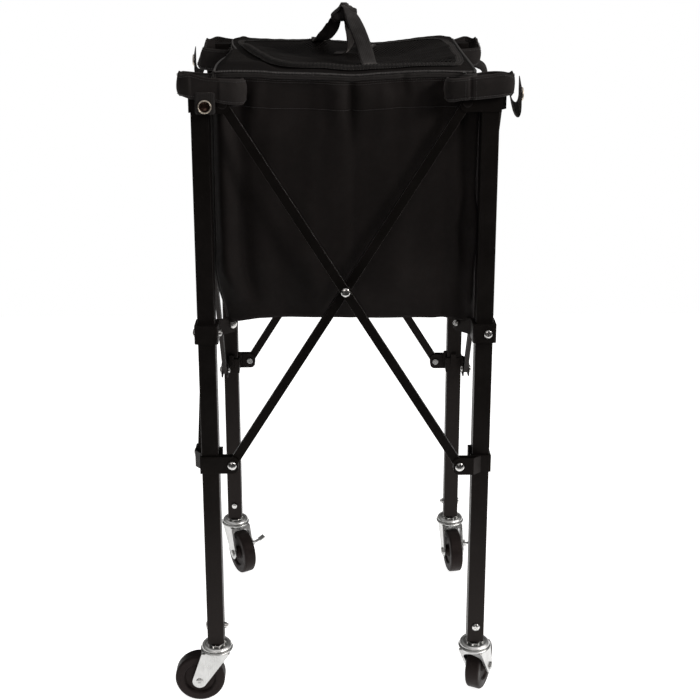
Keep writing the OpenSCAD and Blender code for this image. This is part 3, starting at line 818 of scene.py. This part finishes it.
CARRY = {"front": ("leg_fl", (1, 0, 0)), "left": ("leg_fl", (0, 1, 0)),
         "right": ("leg_fr", (0, 1, 0)), "back": ("leg_rl", (1, 0, 0))}
PANELS = {}
for k, side in enumerate(SIDES):
    P = WALLS[side]
    i0 = k * (NU - 1)
    N = np.array([RING_N[(i0 + i) % len(RING)] for i in range(NU)])
    W = np.array([[(u * 0.364, v * 0.35) for v in np.linspace(0, 1, NV)] for u in np.linspace(k, k + 1, NU)])
    o = thick_sheet(f"hopper_{side}", P, N, 0.0012, W, (CLOTH,))
    fix_normals(o)
    PANELS[side] = o
    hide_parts(f"bag_{side}")
    body, axis = CARRY[side]
    ride_squash(o, body)


def wall_line(side, v, n=240, a=0.0, b=1.0, lift=0.0003):
    """Points along a wall at height share v, and the way out of the cloth there."""
    k = SIDES.index(side)
    pts, nrm = [], []
    for f in np.linspace(a, b, n):
        u = (k + min(f, 0.9999)) % 4
        p, out = wall_plan(u, v)
        q = wall_point(u, v)
        pts.append((q[0] + out.x * lift, q[1] + out.y * lift, q[2]))
        nrm.append((out.x, out.y, 0.0))
    return np.array(pts), np.array(nrm)


def on_wall(o, side):
    body, axis = CARRY[side]
    ride_squash(o, body)


# rows of stitching: two under the rim all round, one across the front where the facing ends
for side in SIDES:
    rows = []
    for v in (0.978, 0.970):
        pts, nrm = wall_line(side, v)
        rows.append(stitches(f"row_{side}_{v}", pts, nrm, THREAD))
    if side == "front":
        for v in (0.870,):
            pts, nrm = wall_line(side, v, 240, 0.04, 0.96)
            rows.append(stitches(f"row_{side}_{v}", pts, nrm, THREAD))
    o = join(f"stitching_{side}", rows)
    on_wall(o, side)

# hopper floor: one sagging sheet between the lower edges of the walls
NF = 56


def floor_grid():
    base = {s: WALLS[s][:, 0] for s in SIDES}
    share = np.linspace(0, 1, NU)
    at = lambda s, f: np.array([np.interp(f, share, base[s][:, i]) for i in range(3)])
    P = np.zeros((NF, NF, 3))
    for i, s in enumerate(np.linspace(0, 1, NF)):
        for j, t in enumerate(np.linspace(0, 1, NF)):
            fr, bk = at("front", s), at("back", 1 - s)
            lf, rt = at("left", 1 - t), at("right", t)
            c = [at("front", 0), at("front", 1), at("back", 0), at("back", 1)]
            p = ((1 - t) * fr + t * bk + (1 - s) * lf + s * rt
                 - ((1 - s) * (1 - t) * c[0] + s * (1 - t) * c[1] + s * t * c[2] + (1 - s) * t * c[3]))
            edge = min(s, 1 - s, t, 1 - t)
            p[2] += 0.0016 - 0.0075 * smooth(0, 0.45, edge) + 0.0022 * n3(p[0], p[1], 0.3, 11) * smooth(0, 0.2, edge)
            P[i, j] = p
    centre = P.reshape(-1, 3).mean(0)
    P[..., :2] = centre[:2] + (P[..., :2] - centre[:2]) * 0.998
    return P


FP = floor_grid()
floor_sheet = thick_sheet("hopper_floor", FP, grid_normals(FP), 0.0014, FP[..., :2], (CLOTH,))
fix_normals(floor_sheet)
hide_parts("bag_floor")
ride_squash(floor_sheet, "bag_floor")


# ------------------------------------------------------------------ lid
LID = 0.1795
TAPE = spline([(-0.163, 0.128), (-0.152, 0.070), (-0.131, -0.012), (-0.108, -0.088), (-0.088, -0.130),
               (-0.062, -0.149), (-0.030, -0.156), (0.020, -0.158), (0.085, -0.158), (0.135, -0.154), (0.160, -0.136), (0.168, -0.060), (0.169, 0.020),
               (0.169, 0.095), (0.161, 0.143), (0.120, 0.156), (0.000, 0.158), (-0.100, 0.158), (-0.145, 0.155)], 400, closed=True)
FEET = ((-0.038, 0.150), (0.038, 0.120), (0.010, 0.070), (0.035, -0.036))


def tape_distance(x, y):
    return float(np.sqrt(((TAPE - (x, y)) ** 2).sum(1).min()))


def inside(poly, pts):
    """Which points lie inside a closed line in plan."""
    x, y = pts[:, 0], pts[:, 1]
    hit = np.zeros(len(pts), bool)
    x0, y0 = poly[-1]
    for x1, y1 in poly:
        cross = (y1 > y) != (y0 > y)
        with np.errstate(divide="ignore", invalid="ignore"):
            hit ^= cross & (x < (x0 - x1) * (y - y1) / (y0 - y1) + x1)
        x0, y0 = x1, y1
    return hit


def lid_z(x, y, netted=False):
    """Height of the slack lid: hung from its rim, raised along the binding, lifted at the handles' feet."""
    s, t = min(1, max(0, (x + LID) / (2 * LID))), min(1, max(0, (y + LID) / (2 * LID)))
    f, b, l, r = RIM_FRONT(x), RIM_BACK(x), RIM_LEFT(y), RIM_RIGHT(y)
    c00, c10, c11, c01 = RIM_FRONT(-LID), RIM_FRONT(LID), RIM_BACK(LID), RIM_BACK(-LID)
    z = ((1 - t) * f + t * b + (1 - s) * l + s * r
         - ((1 - s) * (1 - t) * c00 + s * (1 - t) * c10 + s * t * c11 + (1 - s) * t * c01))
    d = tape_distance(x, y)
    edge = min(s, 1 - s, t, 1 - t)
    ridge = 0.0042 - 0.0030 * smooth(0.06, 0.13, y)
    z += ridge * math.exp(-(d / 0.015) ** 2) * smooth(0.0, 0.05, edge)
    z += 0.0022 * smooth(0.145, 0.168, y)
    # slack cloth puffs up on the left of the lid, with a valley along the binding
    if not netted:
        left = (1 - smooth(-0.11, -0.06, x)) * smooth(-0.176, -0.140, y) * (1 - smooth(0.04, 0.12, y))
        z += left * (0.0085 * smooth(0.010, 0.034, d) * smooth(0.0, 0.045, edge) - 0.0040 * bump(d, 0.012, 0.007))
    else:
        z -= 0.0075 * smooth(0.01, 0.09, d)
        # a loose fold across the front of the net
        off = y + 0.137 - (x - 0.007) * 0.236
        z += 0.0055 * bump(off, 0.0, 0.011) * smooth(-0.02, 0.03, x) * smooth(0.004, 0.020, d)
        z -= 0.0040 * bump(off, 0.024, 0.014) * smooth(-0.02, 0.03, x) * smooth(0.004, 0.020, d)
    for fx, fy in FEET:
        z += 0.0050 * math.exp(-(((x - fx) ** 2 + (y - fy) ** 2) / 0.022 ** 2))
    z += 0.0016 * n3(x, y, 0.0, 17) * smooth(0.0, 0.05, edge) + 0.0008 * n3(x, y, 3.0, 46) * smooth(0.0, 0.03, edge)
    return z


def ring_sheet(name, P, N, thick, uv, mats):
    """A closed cloth ring: P is round x across, N the way up."""
    nu, nv = P.shape[:2]
    n = nu * nv
    faces = grid_faces(nu, nv, wrap=True)
    back = [tuple(reversed([n + i for i in f])) for f in faces]
    rim = []
    for i in range(nu):
        a, b = i * nv, ((i + 1) % nu) * nv
        rim.append((a, n + a, n + b, b))
        rim.append((a + nv - 1, b + nv - 1, n + b + nv - 1, n + a + nv - 1))
    u = np.asarray(uv, float).reshape(-1, 2)
    o = new_object(name, np.vstack([P.reshape(-1, 3), (P - N * thick).reshape(-1, 3)]), faces + back + rim, np.vstack([u, u]), mats)
    fix_normals(o)
    return o


def on_lid(o):
    ride_squash(o, "lid")


def lid_border():
    top = RING[:, -1]
    ang = np.arctan2(top[:, 1], top[:, 0])
    rad = np.hypot(top[:, 0], top[:, 1])
    order = np.argsort(ang)
    ang, rad = ang[order], rad[order]
    ang = np.concatenate([ang - 2 * math.pi, ang, ang + 2 * math.pi])
    rad = np.concatenate([rad, rad, rad])
    nv = 14
    P = np.zeros((len(TAPE), nv, 3))
    for i, (x, y) in enumerate(TAPE):
        q = math.atan2(y, x)
        r = np.interp(q, ang, rad) - 0.0024
        ox, oy = r * math.cos(q), r * math.sin(q)
        oy = min(oy, 0.1722)
        for j, w in enumerate(np.linspace(0, 1, nv)):
            px, py = ox + (x - ox) * w, oy + (y - oy) * w
            P[i, j] = (px, py, lid_z(px, py))
    N = grid_normals(P, wrap=True)
    N[N[..., 2] < 0] *= -1
    return P, N


LB, LBN = lid_border()
border = ring_sheet("lid_border", LB, LBN, 0.0013, LB[..., :2], (BORDER,))


def net_sheet(name, pitch=0.0054, hole=0.68, thick=0.0010):
    """A knitted hexagon net as real strands, closed on both faces."""
    rows = []
    h = pitch * math.sqrt(3) / 2
    lo, hi = TAPE.min(0), TAPE.max(0)
    cells = []
    for j in range(int((hi[1] - lo[1]) / h) + 2):
        for i in range(int((hi[0] - lo[0]) / pitch) + 2):
            cells.append((lo[0] + (i + (0.5 if j % 2 else 0.0)) * pitch, lo[1] + j * h))
    cells = np.array(cells)
    cells = cells[inside(TAPE, cells)]
    R = pitch / math.sqrt(3)
    corner = [(R * math.cos(math.radians(60 * q + 30)), R * math.sin(math.radians(60 * q + 30))) for q in range(6)]
    heights = {}

    def z_at(x, y):
        key = (round(x, 5), round(y, 5))
        if key not in heights:
            heights[key] = lid_z(x, y, True) + 0.0002
        return heights[key]

    verts, faces, shared, used = [], [], {}, {}

    def lattice(x, y):
        key = (round(x, 5), round(y, 5))
        if key not in shared:
            z = z_at(x, y)
            shared[key] = len(verts)
            verts.append((x, y, z + thick * 0.5))
            verts.append((x, y, z - thick * 0.5))
        return shared[key]

    for cx, cy in cells:
        ring = [lattice(cx + a, cy + b) for a, b in corner]
        zs = z_at(cx, cy)
        rim = []
        wob = 1 + 0.10 * n3(cx, cy, 1.0, 210)
        for a, b in corner:
            x, y = cx + a * hole * wob, cy + b * hole * wob
            rim.append(len(verts))
            z = zs + (z_at(cx + a, cy + b) - zs) * hole
            verts.append((x, y, z + thick * 0.22))
            verts.append((x, y, z - thick * 0.22))
        for q in range(6):
            w = (q + 1) % 6
            faces.append((ring[q], ring[w], rim[w], rim[q]))
            faces.append((ring[w] + 1, ring[q] + 1, rim[q] + 1, rim[w] + 1))
            faces.append((rim[q], rim[w], rim[w] + 1, rim[q] + 1))
            e = (min(ring[q], ring[w]), max(ring[q], ring[w]))
            used.setdefault(e, []).append((ring[q], ring[w]))
    for e, runs in used.items():
        if len(runs) == 1:
            a, b = runs[0]
            faces.append((b, a, a + 1, b + 1))
    o = new_object(name, verts, faces, None, (NET,))
    fix_normals(o)
    return o


net = net_sheet("lid_net")


def roll_share(x, y):
    """How far the net's edge stands up in a roll: along the left and the front, flat elsewhere."""
    return (1 - smooth(0.02, 0.12, y)) * (1 - smooth(0.145, 0.172, x)) * (1 - 0.45 * smooth(0.03, 0.11, x))


def binding_roll(name, path, mat):
    """The net's bound edge: an arched roll of doubled net that flattens to a tape at the back and right."""
    line = np.array([(x, y, lid_z(x, y) + 0.0008) for x, y in path])
    t = tangents(line)
    side = np.stack([t[:, 1], -t[:, 0], np.zeros(len(t))], axis=1)
    side /= np.linalg.norm(side, axis=1, keepdims=True)
    s = arc(line)
    seg, thick = 14, 0.0012
    verts, uv = [], []
    for i, (p, a) in enumerate(zip(line, side)):
        share = roll_share(p[0], p[1])
        half = 0.0040 + 0.0028 * share
        high = (0.0006 + 0.0052 * share) * (1 + 0.16 * n3(s[i], 0.3, 1.0, 40))
        lean = 0.0016 * share * n3(s[i], 4.0, 2.0, 22)
        for lift in (0.0, -thick):
            order = range(seg + 1) if lift == 0.0 else range(seg, -1, -1)
            for j in order:
                w = -1 + 2 * j / seg
                up = high * (1 - w * w) ** 0.6 if abs(w) < 1 else 0.0
                # the knit's ribs run slantwise over the roll
                up += 0.0008 * (0.25 + 0.75 * share) * (1 - w * w) * math.sin(2 * math.pi * (s[i] / 0.0052 + 0.9 * w))
                verts.append(p + a * (half * w + lean * (1 - w * w)) + np.array((0, 0, up + lift)))
                uv.append((s[i], w * (half + high)))
    m = 2 * (seg + 1)
    n = len(line)
    faces = [(i * m + j, i * m + (j + 1) % m, (i + 1) * m + (j + 1) % m, (i + 1) * m + j) for i in range(n - 1) for j in range(m)]
    faces.append(tuple(reversed(range(m))))
    faces.append(tuple((n - 1) * m + j for j in range(m)))
    o = new_object(name, verts, faces, uv, (mat,))
    fix_normals(o)
    return o, line, side


start = 370
loop_path = spline(np.vstack([np.roll(TAPE, -start, axis=0), TAPE[start:start + 2]]), 1300)
binding, bline, bside = binding_roll("lid_binding", loop_path, TAPEM)
bn = np.tile((0.0, 0.0, 1.0), (len(bline), 1))
foot = np.array([0.0046 + 0.0028 * roll_share(p[0], p[1]) for p in bline])[:, None]
binding_rows = join("lid_binding_stitches", [
    stitches("bs0", bline + bside * foot + bn * 0.0004, bn, THREAD),
    stitches("bs1", bline - bside * foot + bn * 0.0004, bn, THREAD)])
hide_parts("lid")
for o in (border, net, binding, binding_rows):
    on_lid(o)

# rolled hem the lid is sewn on by at the back
hx = np.linspace(-LID + 0.001, LID - 0.001, 120)
hem_line = np.array([(x, 0.1752, RIM_BACK(x) - 0.0004 - 0.0024 * smooth(0.158, 0.1785, abs(x))) for x in hx])
hem = ribbon("lid_hem_roll", hem_line, np.tile((0.0, 1.0, 0.0), (120, 1)), 0.0105, 0.0026, (BORDER,), seg=10, crown=0.0014,
             wave=lambda s, w: 0.0006 * n3(s * 30, w * 2, 4.0))
hem_rows = stitches("lid_hem_stitches", hem_line + np.array((0, -0.0026, 0.0024)), np.tile((0.0, 0.0, 1.0), (120, 1)), THREAD)
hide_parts("lid_hem")
for o in (hem, hem_rows):
    ride_squash(o, "lid_hem")

# zip round the left, front and right of the rim: coil with one tape strip
for side in ("left", "front", "right"):
    pts, nrm = wall_line(side, 1.0, 760, 0.0 if side != "left" else 0.04, 1.0 if side != "right" else 0.96, 0.0)
    pts = pts - nrm * 0.0006 + np.array((0, 0, 0.0022))
    # the coil on the left and front wears the pale painted highlight; on the right it takes the dark thread colour
    coil = tube(f"coil_{side}", spline(pts[::8], 1500), 0.0017, 8, (THREAD if side == "right" else COIL_HIGHLIGHT,), bead=0.20, pitch=0.0021)
    tape_pts, tape_nrm = wall_line(side, 0.992, 240, 0.0 if side != "left" else 0.04, 1.0 if side != "right" else 0.96, 0.0008)
    strip = ribbon(f"tape_{side}", tape_pts, np.tile((0.0, 0.0, 1.0), (240, 1)), 0.0066, 0.0008, (WEB,), seg=6)
    z = join(f"zip_{side}", [coil, strip])
    on_wall(z, side)


# ------------------------------------------------------------------ carry handles
def strap(name, points, across, width, mats, n=150, twist=None):
    """Webbing through points, its width turned to each point's own direction."""
    P = np.array(points, float) / 1000
    line = spline(P, n)
    seg = arc(P)
    run = arc(line)
    A = np.array(across, float)
    A /= np.linalg.norm(A, axis=1, keepdims=True)
    a = np.stack([np.interp(run / run[-1], seg / seg[-1], A[:, k]) for k in range(3)], axis=1)
    t = tangents(line)
    a -= t * (a * t).sum(1, keepdims=True)
    a /= np.linalg.norm(a, axis=1, keepdims=True)
    return ribbon(name, line, a, width, 0.0019, mats, seg=10, crown=0.0004,
                  wave=lambda s, w: 0.0007 * n3(s * 9, w * 3, 2.0) + 0.0012 * (w * 2) ** 2 * n3(s * 5, 1.0, 6.0)), line, a


def foot_z(x, y, up=2.0):
    return 1000 * lid_z(x / 1000, y / 1000, True) + up


S1 = [(-40, 152), (-38, 142)], [(-33.5, 122, 980), (-27, 84, 990), (-19.5, 48, 1003), (-15, 26, 1014), (-12.5, 14, 1024),
      (-7, 7, 1034), (0.5, 2, 1041.5), (8, -2, 1035), (14.5, -6, 1022), (22.5, -12, 1004.5), (29.5, -20, 986.5), (34.0, -30, 972.5)], [(37, -42), (40, -58)]
A1 = [(0.6, 0.8, 0), (0.6, 0.8, 0), (0.52, 0.78, -0.2), (0.44, 0.78, -0.42), (0.42, 0.78, -0.42), (0.45, 0.75, -0.35), (0.4, 0.85, -0.2), (0.2, 0.97, 0), (0, 1, 0),
      (0.45, 0.8, 0.3), (0.78, 0.45, 0.36), (0.92, 0.2, 0.35), (0.95, 0.1, 0.3), (0.97, 0.15, 0.1), (0.98, 0.2, 0), (0.98, 0.2, 0)]
S2 = [(-12, 74), (3, 70)], [(10, 66, 972), (11.2, 58, 980), (10.2, 46, 998), (6.4, 34, 1014), (2, 24, 1030), (3.5, 16, 1039), (11, 18, 1034),
      (16, 36, 1015), (23.5, 70, 992), (31, 100, 978)], [(37, 116), (44, 132)]
A2 = [(0.3, 0.95, 0), (0.3, 0.95, 0), (0.42, 0.85, 0.3), (0.45, 0.8, 0.35), (0.42, 0.8, 0.4), (0.4, 0.85, 0.3), (0.2, 0.95, 0.1), (0, 1, 0), (0.1, 1, 0.1),
      (0.6, 0.7, 0.2), (0.85, -0.45, 0.1), (0.8, -0.6, 0.1), (0.75, -0.65, 0), (0.72, -0.7, 0)]


def full(s):
    return [(x, y, foot_z(x, y)) for x, y in s[0]] + s[1] + [(x, y, foot_z(x, y)) for x, y in s[2]]


strap1, l1, a1 = strap("h1", full(S1), A1, 0.0225, (WEB,))
strap2, l2, a2 = strap("h2", full(S2), A2, 0.0225, (WEB,))



def gathered_top():
    """The straps' bights folded together at the top: one creased bundle of webbing."""
    # height, left and right sides, half depth, in mm
    prof = [(1017.0, -15.0, 16.0, 9.0), (1019.5, -16.6, 18.4, 11.0), (1024.0, -18.2, 19.4, 12.0), (1029.0, -18.6, 19.6, 12.0),
            (1034.0, -14.6, 19.8, 11.0), (1038.0, -10.0, 18.6, 10.0), (1040.6, -7.4, 10.0, 9.0), (1044.0, -5.4, 6.4, 7.0), (1046.6, -4.0, 5.2, 4.5)]
    line = spline(prof, 60)
    m = 64
    verts, uv = [], []
    for i, (z, a, b, d) in enumerate(line):
        c, rx = (a + b) / 2, (b - a) / 2
        for q in range(m):
            g = 2 * math.pi * q / m
            # flattened like folded strap, with creases running up it
            ex, ey = math.copysign(abs(math.cos(g)) ** 0.8, math.cos(g)), math.copysign(abs(math.sin(g)) ** 0.8, math.sin(g))
            w = 1 + 0.10 * math.sin(5 * g + 0.08 * z) * (0.6 + 0.4 * math.sin(0.15 * z)) + 0.08 * n3(ex * 2, ey * 2, z * 0.05)
            saddle = 5.0 * (1 - smooth(1017, 1023, z)) * (1 - abs(ex)) ** 0.7
            verts.append(((c + rx * ex * w) / 1000, (9 + d * ey * w) / 1000, (z + saddle) / 1000))
            uv.append((z / 1000, g * 0.016))
    faces = []
    n = len(line)
    for i in range(n - 1):
        for q in range(m):
            k = (q + 1) % m
            faces.append((i * m + q, i * m + k, (i + 1) * m + k, (i + 1) * m + q))
    faces.append(tuple(reversed(range(m))))
    faces.append(tuple((n - 1) * m + q for q in range(m)))
    o = new_object("h3", verts, faces, uv, (WEB,))
    fix_normals(o)
    return o


wrap_band = gathered_top()
rows = []
for line, a, lo, hi in ((l1, a1, 0, 14), (l1, a1, 136, 150), (l2, a2, 0, 14), (l2, a2, 136, 150)):
    part, across = line[lo:hi], a[lo:hi]
    up = np.cross(tangents(line), a)[lo:hi]
    up[up[:, 2] < 0] *= -1
    for w in (-0.0085, 0.0085):
        rows.append(stitches("hs", part + across * w + up * 0.0012, up, THREAD))
handles = join("handle_straps", [strap1, strap2, wrap_band] + rows)
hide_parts("carry_handles")
on_lid(handles)


# ------------------------------------------------------------------ corner loops
PLAN = [(58, 15.0), (60.5, 4), (60.0, -13), (55, -24), (44, -28.2), (20, -28.7), (0, -28.7), (-14, -28.2), (-23, -24.5), (-26.6, -15),
        (-27, 0), (-27, 22), (-26.6, 42), (-23.5, 54), (-13, 60), (3, 60.5), (15.0, 58)]
HIGH = profile([(0, 0.9600), (0.12, 0.9628), (0.33, 0.9662), (0.44, 0.9722), (0.50, 0.9695), (0.555, 0.9735), (0.63, 0.9705), (0.75, 0.9665), (0.85, 0.9635), (1, 0.9605)])
LOW = profile([(0, 0.9305), (0.12, 0.9278), (0.30, 0.9330), (0.44, 0.9378), (0.50, 0.9410), (0.57, 0.9385), (0.75, 0.9352), (0.85, 0.9312), (1, 0.9305)])
TAB_OUT = (0.0, 0.013, 0.011, 0.017)
SKEW = (0.0, 0.60, -0.22, -0.42)
LOOP_OUT = 0.0288
FLARE = ((0.0, 0.0), (0.0, 0.003), (0.002, 0.0), (0.013, 0.004))


def corner_band(k, c):
    n, nv = 170, 18
    line = spline([(x / 1000, y / 1000) for x, y in PLAN], n)
    run = arc(line)
    share = run / run[-1]
    t = tangents(line)
    out = np.stack([t[:, 1], -t[:, 0]], axis=1)
    if (out[n // 2] @ np.array((-1, -1))) < 0:
        out = -out
    i_seam = n // 2 + int(np.argmin(np.abs(line[n // 2:, 1] - 0.030)))
    P = np.zeros((n, nv, 3))
    for i in range(n):
        s = share[i]
        lo, hi = LOW(s), HIGH(s)
        lo += 0.0012 * n3(s * 6, k * 3.1, 0.5)
        hi += 0.0012 * n3(s * 6, k * 3.1, 4.5)
        if k == 2:
            lo += 0.0100 * bump(s, 0.64, 0.20)
        on_tab = s < 0.5 and -0.010 < line[i, 0] < 0.029
        f = FLARE[k][0] * bump(s, 0.30, 0.16) + FLARE[k][1] * bump(s, 0.68, 0.16)
        groove = bump(share[i] - share[i_seam], 0.0, 0.008)
        for j, v in enumerate(np.linspace(0, 1, nv)):
            puff = (0.0030 * math.sin(math.pi * v) ** 0.7 + 0.0012 * n3(s * 9, v * 2.0, k * 5.0)) * smooth(0.0, 0.04, s) * smooth(0.0, 0.04, 1 - s)
            if on_tab:
                puff *= 0.0
            puff = puff - 0.0030 * groove
            roll = 0.0 if on_tab else -0.0010 * (1 - smooth(0.0, 0.14, v) + smooth(0.86, 1.0, v))
            d = min(puff, 0.0034) + roll + f * (1 - v) ** 1.4
            x, y = line[i] + out[i] * d
            X, Y = turn(k, x, y)
            P[i, j] = (X, Y, lo + (hi - lo) * v)
    N = grid_normals(P)
    mid = P[n // 2, nv // 2]
    if N[n // 2, nv // 2] @ np.array((mid[0], mid[1], 0)) < 0:
        N = -N
    uv = np.array([[(run[i], v * 0.035) for v in np.linspace(0, 1, nv)] for i in range(n)])
    o = thick_sheet(f"band_{c}", P, N, 0.0016, uv, (BAND,))
    fix_normals(o)
    rows = []
    for v in (0.12, 0.88):
        j = int(round(v * (nv - 1)))
        rows.append(stitches("cs", P[6:-6, j] + N[6:-6, j] * 0.0004, N[6:-6, j], THREAD))
    for off in (-5, 5):
        col = P[i_seam + off]
        rows.append(stitches("cs", col + N[i_seam + off] * 0.0004, N[i_seam + off], THREAD))
    return [o] + rows


def corner_tab(k, c):
    """The press stud tab: flat on the band, or curled out from under it."""
    t = TAB_OUT[k]
    y0 = -LOOP_OUT
    if t == 0:
        yz = [(y0 - 0.0007, 0.9465), (y0 - 0.0008, 0.940), (y0 - 0.0008, 0.930), (y0 - 0.0008, 0.922), (y0 - 0.0006, 0.9172)]
    else:
        yz = [(y0 + 0.0004, 0.9395), (y0 - 0.0006, 0.9335), (y0 - 0.32 * t, 0.9215), (y0 - 0.66 * t, 0.9162), (y0 - 0.93 * t, 0.9180),
              (y0 - t - 0.0008, 0.9260), (y0 - t - 0.0008, 0.9380), (y0 - t - 0.0008, 0.9480), (y0 - t - 0.0004, 0.9545)]
    prof = spline(yz, 60)
    line, across = [], []
    for i, (y, z) in enumerate(prof):
        X, Y = turn(k, 0.0095, y)
        line.append((X, Y, z))
        a, b = turn(k, 1.0, 0.0), turn(k, 0.0, 0.0)
        across.append((a[0] - b[0], a[1] - b[1], 0.0))
    end = lambda s: 1 - 0.16 * smooth(0.90, 1.0, s) - (0.16 * (1 - smooth(0.0, 0.08, s)) if t == 0 else 0)
    o = ribbon(f"tab_{c}", line, across, 0.0275, 0.0016, (WEB,), seg=12, width_of=end)
    if t:
        # the loose tabs hang askew, their near side lower
        me = o.data
        co = np.zeros(len(me.vertices) * 3)
        me.vertices.foreach_get("co", co)
        co = co.reshape(-1, 3)
        ax = np.array(across[0])
        co[:, 2] += SKEW[k] * ((co - np.array(line[0])) @ ax)
        me.vertices.foreach_set("co", co.ravel())
        me.update()
    # domed stud inside its ring
    zc = 0.9275 if t == 0 else 0.938
    verts, faces = [], []
    m, rings = 32, [(0.0072, -0.0002), (0.0071, 0.0006), (0.0062, 0.0012), (0.0046, 0.0015), (0.0038, 0.0009), (0.0020, 0.0006)]
    for r, lift in rings:
        for q in range(m):
            g = 2 * math.pi * q / m
            X, Y = turn(k, 0.009 + r * math.cos(g), y0 - t - 0.0017 - lift)
            verts.append((X, Y, zc + r * math.sin(g)))
    for a in range(len(rings) - 1):
        for q in range(m):
            w = (q + 1) % m
            faces.append((a * m + q, a * m + w, (a + 1) * m + w, (a + 1) * m + q))
    faces.append(tuple(range(m)))
    faces.append(tuple((len(rings) - 1) * m + q for q in range(m)))
    dome = new_object(f"dome_{c}", verts, faces, None, (BRONZE,))
    fix_normals(dome)
    # rolled rim over the ring
    verts, faces = [], []
    rim = [(0.00938, 0.0006), (0.00936, 0.0018), (0.00905, 0.0025), (0.00845, 0.0028), (0.00785, 0.0026), (0.00745, 0.0019), (0.00735, 0.0006)]
    for r, lift in rim:
        for q in range(m):
            g = 2 * math.pi * q / m
            X, Y = turn(k, 0.009 + r * math.cos(g), y0 - t - 0.0017 - lift)
            verts.append((X, Y, zc + r * math.sin(g)))
    for a in range(len(rim)):
        b = (a + 1) % len(rim)
        for q in range(m):
            w = (q + 1) % m
            faces.append((a * m + q, a * m + w, b * m + w, b * m + q))
    roll = new_object(f"rim_{c}", verts, faces, None, (BRASS,))
    fix_normals(roll)
    return o, join(f"stud_{c}", [dome, roll])


def loose_end():
    """The back right loop's strap end, lying out from the band and hanging over."""
    xyz = [(0.2020, 0.1770, 0.9340), (0.2130, 0.1762, 0.9345), (0.2240, 0.1752, 0.9328), (0.2325, 0.1750, 0.9280), (0.2368, 0.1758, 0.9205), (0.2378, 0.1765, 0.9140)]
    line = spline(xyz, 50)
    t = tangents(line)
    across = np.stack([-t[:, 2], np.full(50, 0.25), t[:, 0]], axis=1)
    return ribbon("end", line, across, 0.0140, 0.0024, (WEB,), seg=10, crown=0.0006, width_of=lambda s: 1 - 0.45 * smooth(0.55, 1.0, s),
                  wave=lambda s, w: 0.0010 * n3(s * 5, w * 2, 3.0))


end_strap = loose_end()
end_strap.name = "loop_end_rr"
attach(end_strap, "leg_rr")

for k, c in enumerate(CORNERS):
    tab, stud = corner_tab(k, c)
    loop = join(f"loop_{c}", corner_band(k, c))
    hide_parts(f"corner_loop_{c}")
    tab.name, stud.name = f"loop_tab_{c}", f"press_stud_{c}"
    for o in (loop, tab, stud):
        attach(o, f"leg_{c}")


# ------------------------------------------------------------------ camera, floor and light
def set_stage():
    cam = bpy.data.cameras.new("camera")
    c = bpy.data.objects.new("camera", cam)
    SCENE.collection.objects.link(c)
    c.location = (-0.02179, -1.86654, 1.19581)
    c.rotation_euler = (math.radians(90 - 14.633), 0, math.radians(-0.9665))
    cam.sensor_width = 36.0
    cam.lens = 63.341
    cam.shift_x, cam.shift_y = 0.00014, -0.18358
    cam.clip_end = 60
    SCENE.camera = c
    floor = new_object("floor", [(-1.6, -0.66, 0), (1.6, -0.66, 0), (1.6, 1.6, 0), (-1.6, 1.6, 0)], [(0, 1, 2, 3)])
    fm = Mat("floor_pale", roughness=0.85)
    f = fm.noise(2.0, 3, 0.5)
    fm.colour(fm.ramp(f, [(0.3, (0.90, 0.90, 0.90)), (0.7, (0.93, 0.93, 0.93))]))
    fm.set(Specular_IOR_Level=0.05, Emission_Strength=0.90)
    fm.b.inputs["Emission Color"].default_value = (1, 1, 1, 1)
    floor.data.materials.append(fm.m)
    floor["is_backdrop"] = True
    w = bpy.data.worlds.new("studio")
    SCENE.world = w
    w.use_nodes = True
    nt = w.node_tree
    seen = nt.nodes["Background"]
    seen.inputs[0].default_value = (1, 1, 1, 1)
    seen.inputs[1].default_value = 1.0
    room = nt.nodes.new("ShaderNodeBackground")
    room.inputs[0].default_value = (1, 0.985, 0.97, 1)
    # dim round the sides, brighter overhead
    where, split, rise = nt.nodes.new("ShaderNodeTexCoord"), nt.nodes.new("ShaderNodeSeparateXYZ"), nt.nodes.new("ShaderNodeMapRange")
    nt.links.new(where.outputs["Generated"], split.inputs[0])
    nt.links.new(split.outputs["Z"], rise.inputs["Value"])
    for name, v in (("From Min", 0.50), ("From Max", 0.95), ("To Min", 0.03), ("To Max", 0.70)):
        rise.inputs[name].default_value = v
    nt.links.new(rise.outputs["Result"], room.inputs[1])
    pick, path = nt.nodes.new("ShaderNodeMixShader"), nt.nodes.new("ShaderNodeLightPath")
    nt.links.new(path.outputs["Is Camera Ray"], pick.inputs[0])
    nt.links.new(room.outputs[0], pick.inputs[1])
    nt.links.new(seen.outputs[0], pick.inputs[2])
    nt.links.new(pick.outputs[0], nt.nodes["World Output"].inputs[0])

    def area(name, loc, aim, size, power, colour=(1, 1, 1)):
        l = bpy.data.lights.new(name, "AREA")
        l.shape, l.size, l.size_y = "RECTANGLE", size[0], size[1]
        l.energy, l.color = power, colour
        o = bpy.data.objects.new(name, l)
        SCENE.collection.objects.link(o)
        o.location = loc
        o.rotation_euler = (Vector(aim) - Vector(loc)).to_track_quat("-Z", "Y").to_euler()
        return o

    area("overhead", (0.0, 0.2, 3.6), (0, 0.2, 0), (2.4, 2.4), 3)
    area("key", (2.1, -1.9, 2.2), (0, 0, 0.75), (0.6, 0.6), 26, (1, 0.95, 0.92))
    area("fill", (-0.9, -3.2, 2.0), (0, 0, 0.7), (1.2, 1.2), 9, (1, 0.94, 0.91))
    # low from the right: draws a line of light along the bars' rounded edges
    area("edge", (2.5, -0.6, 2.0), (0, -0.2, 0.75), (0.7, 1.0), 22, (1, 0.97, 0.94))
    SCENE.view_settings.view_transform = "Standard"
    SCENE.view_settings.look = "None"


set_stage()

lo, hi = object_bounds()
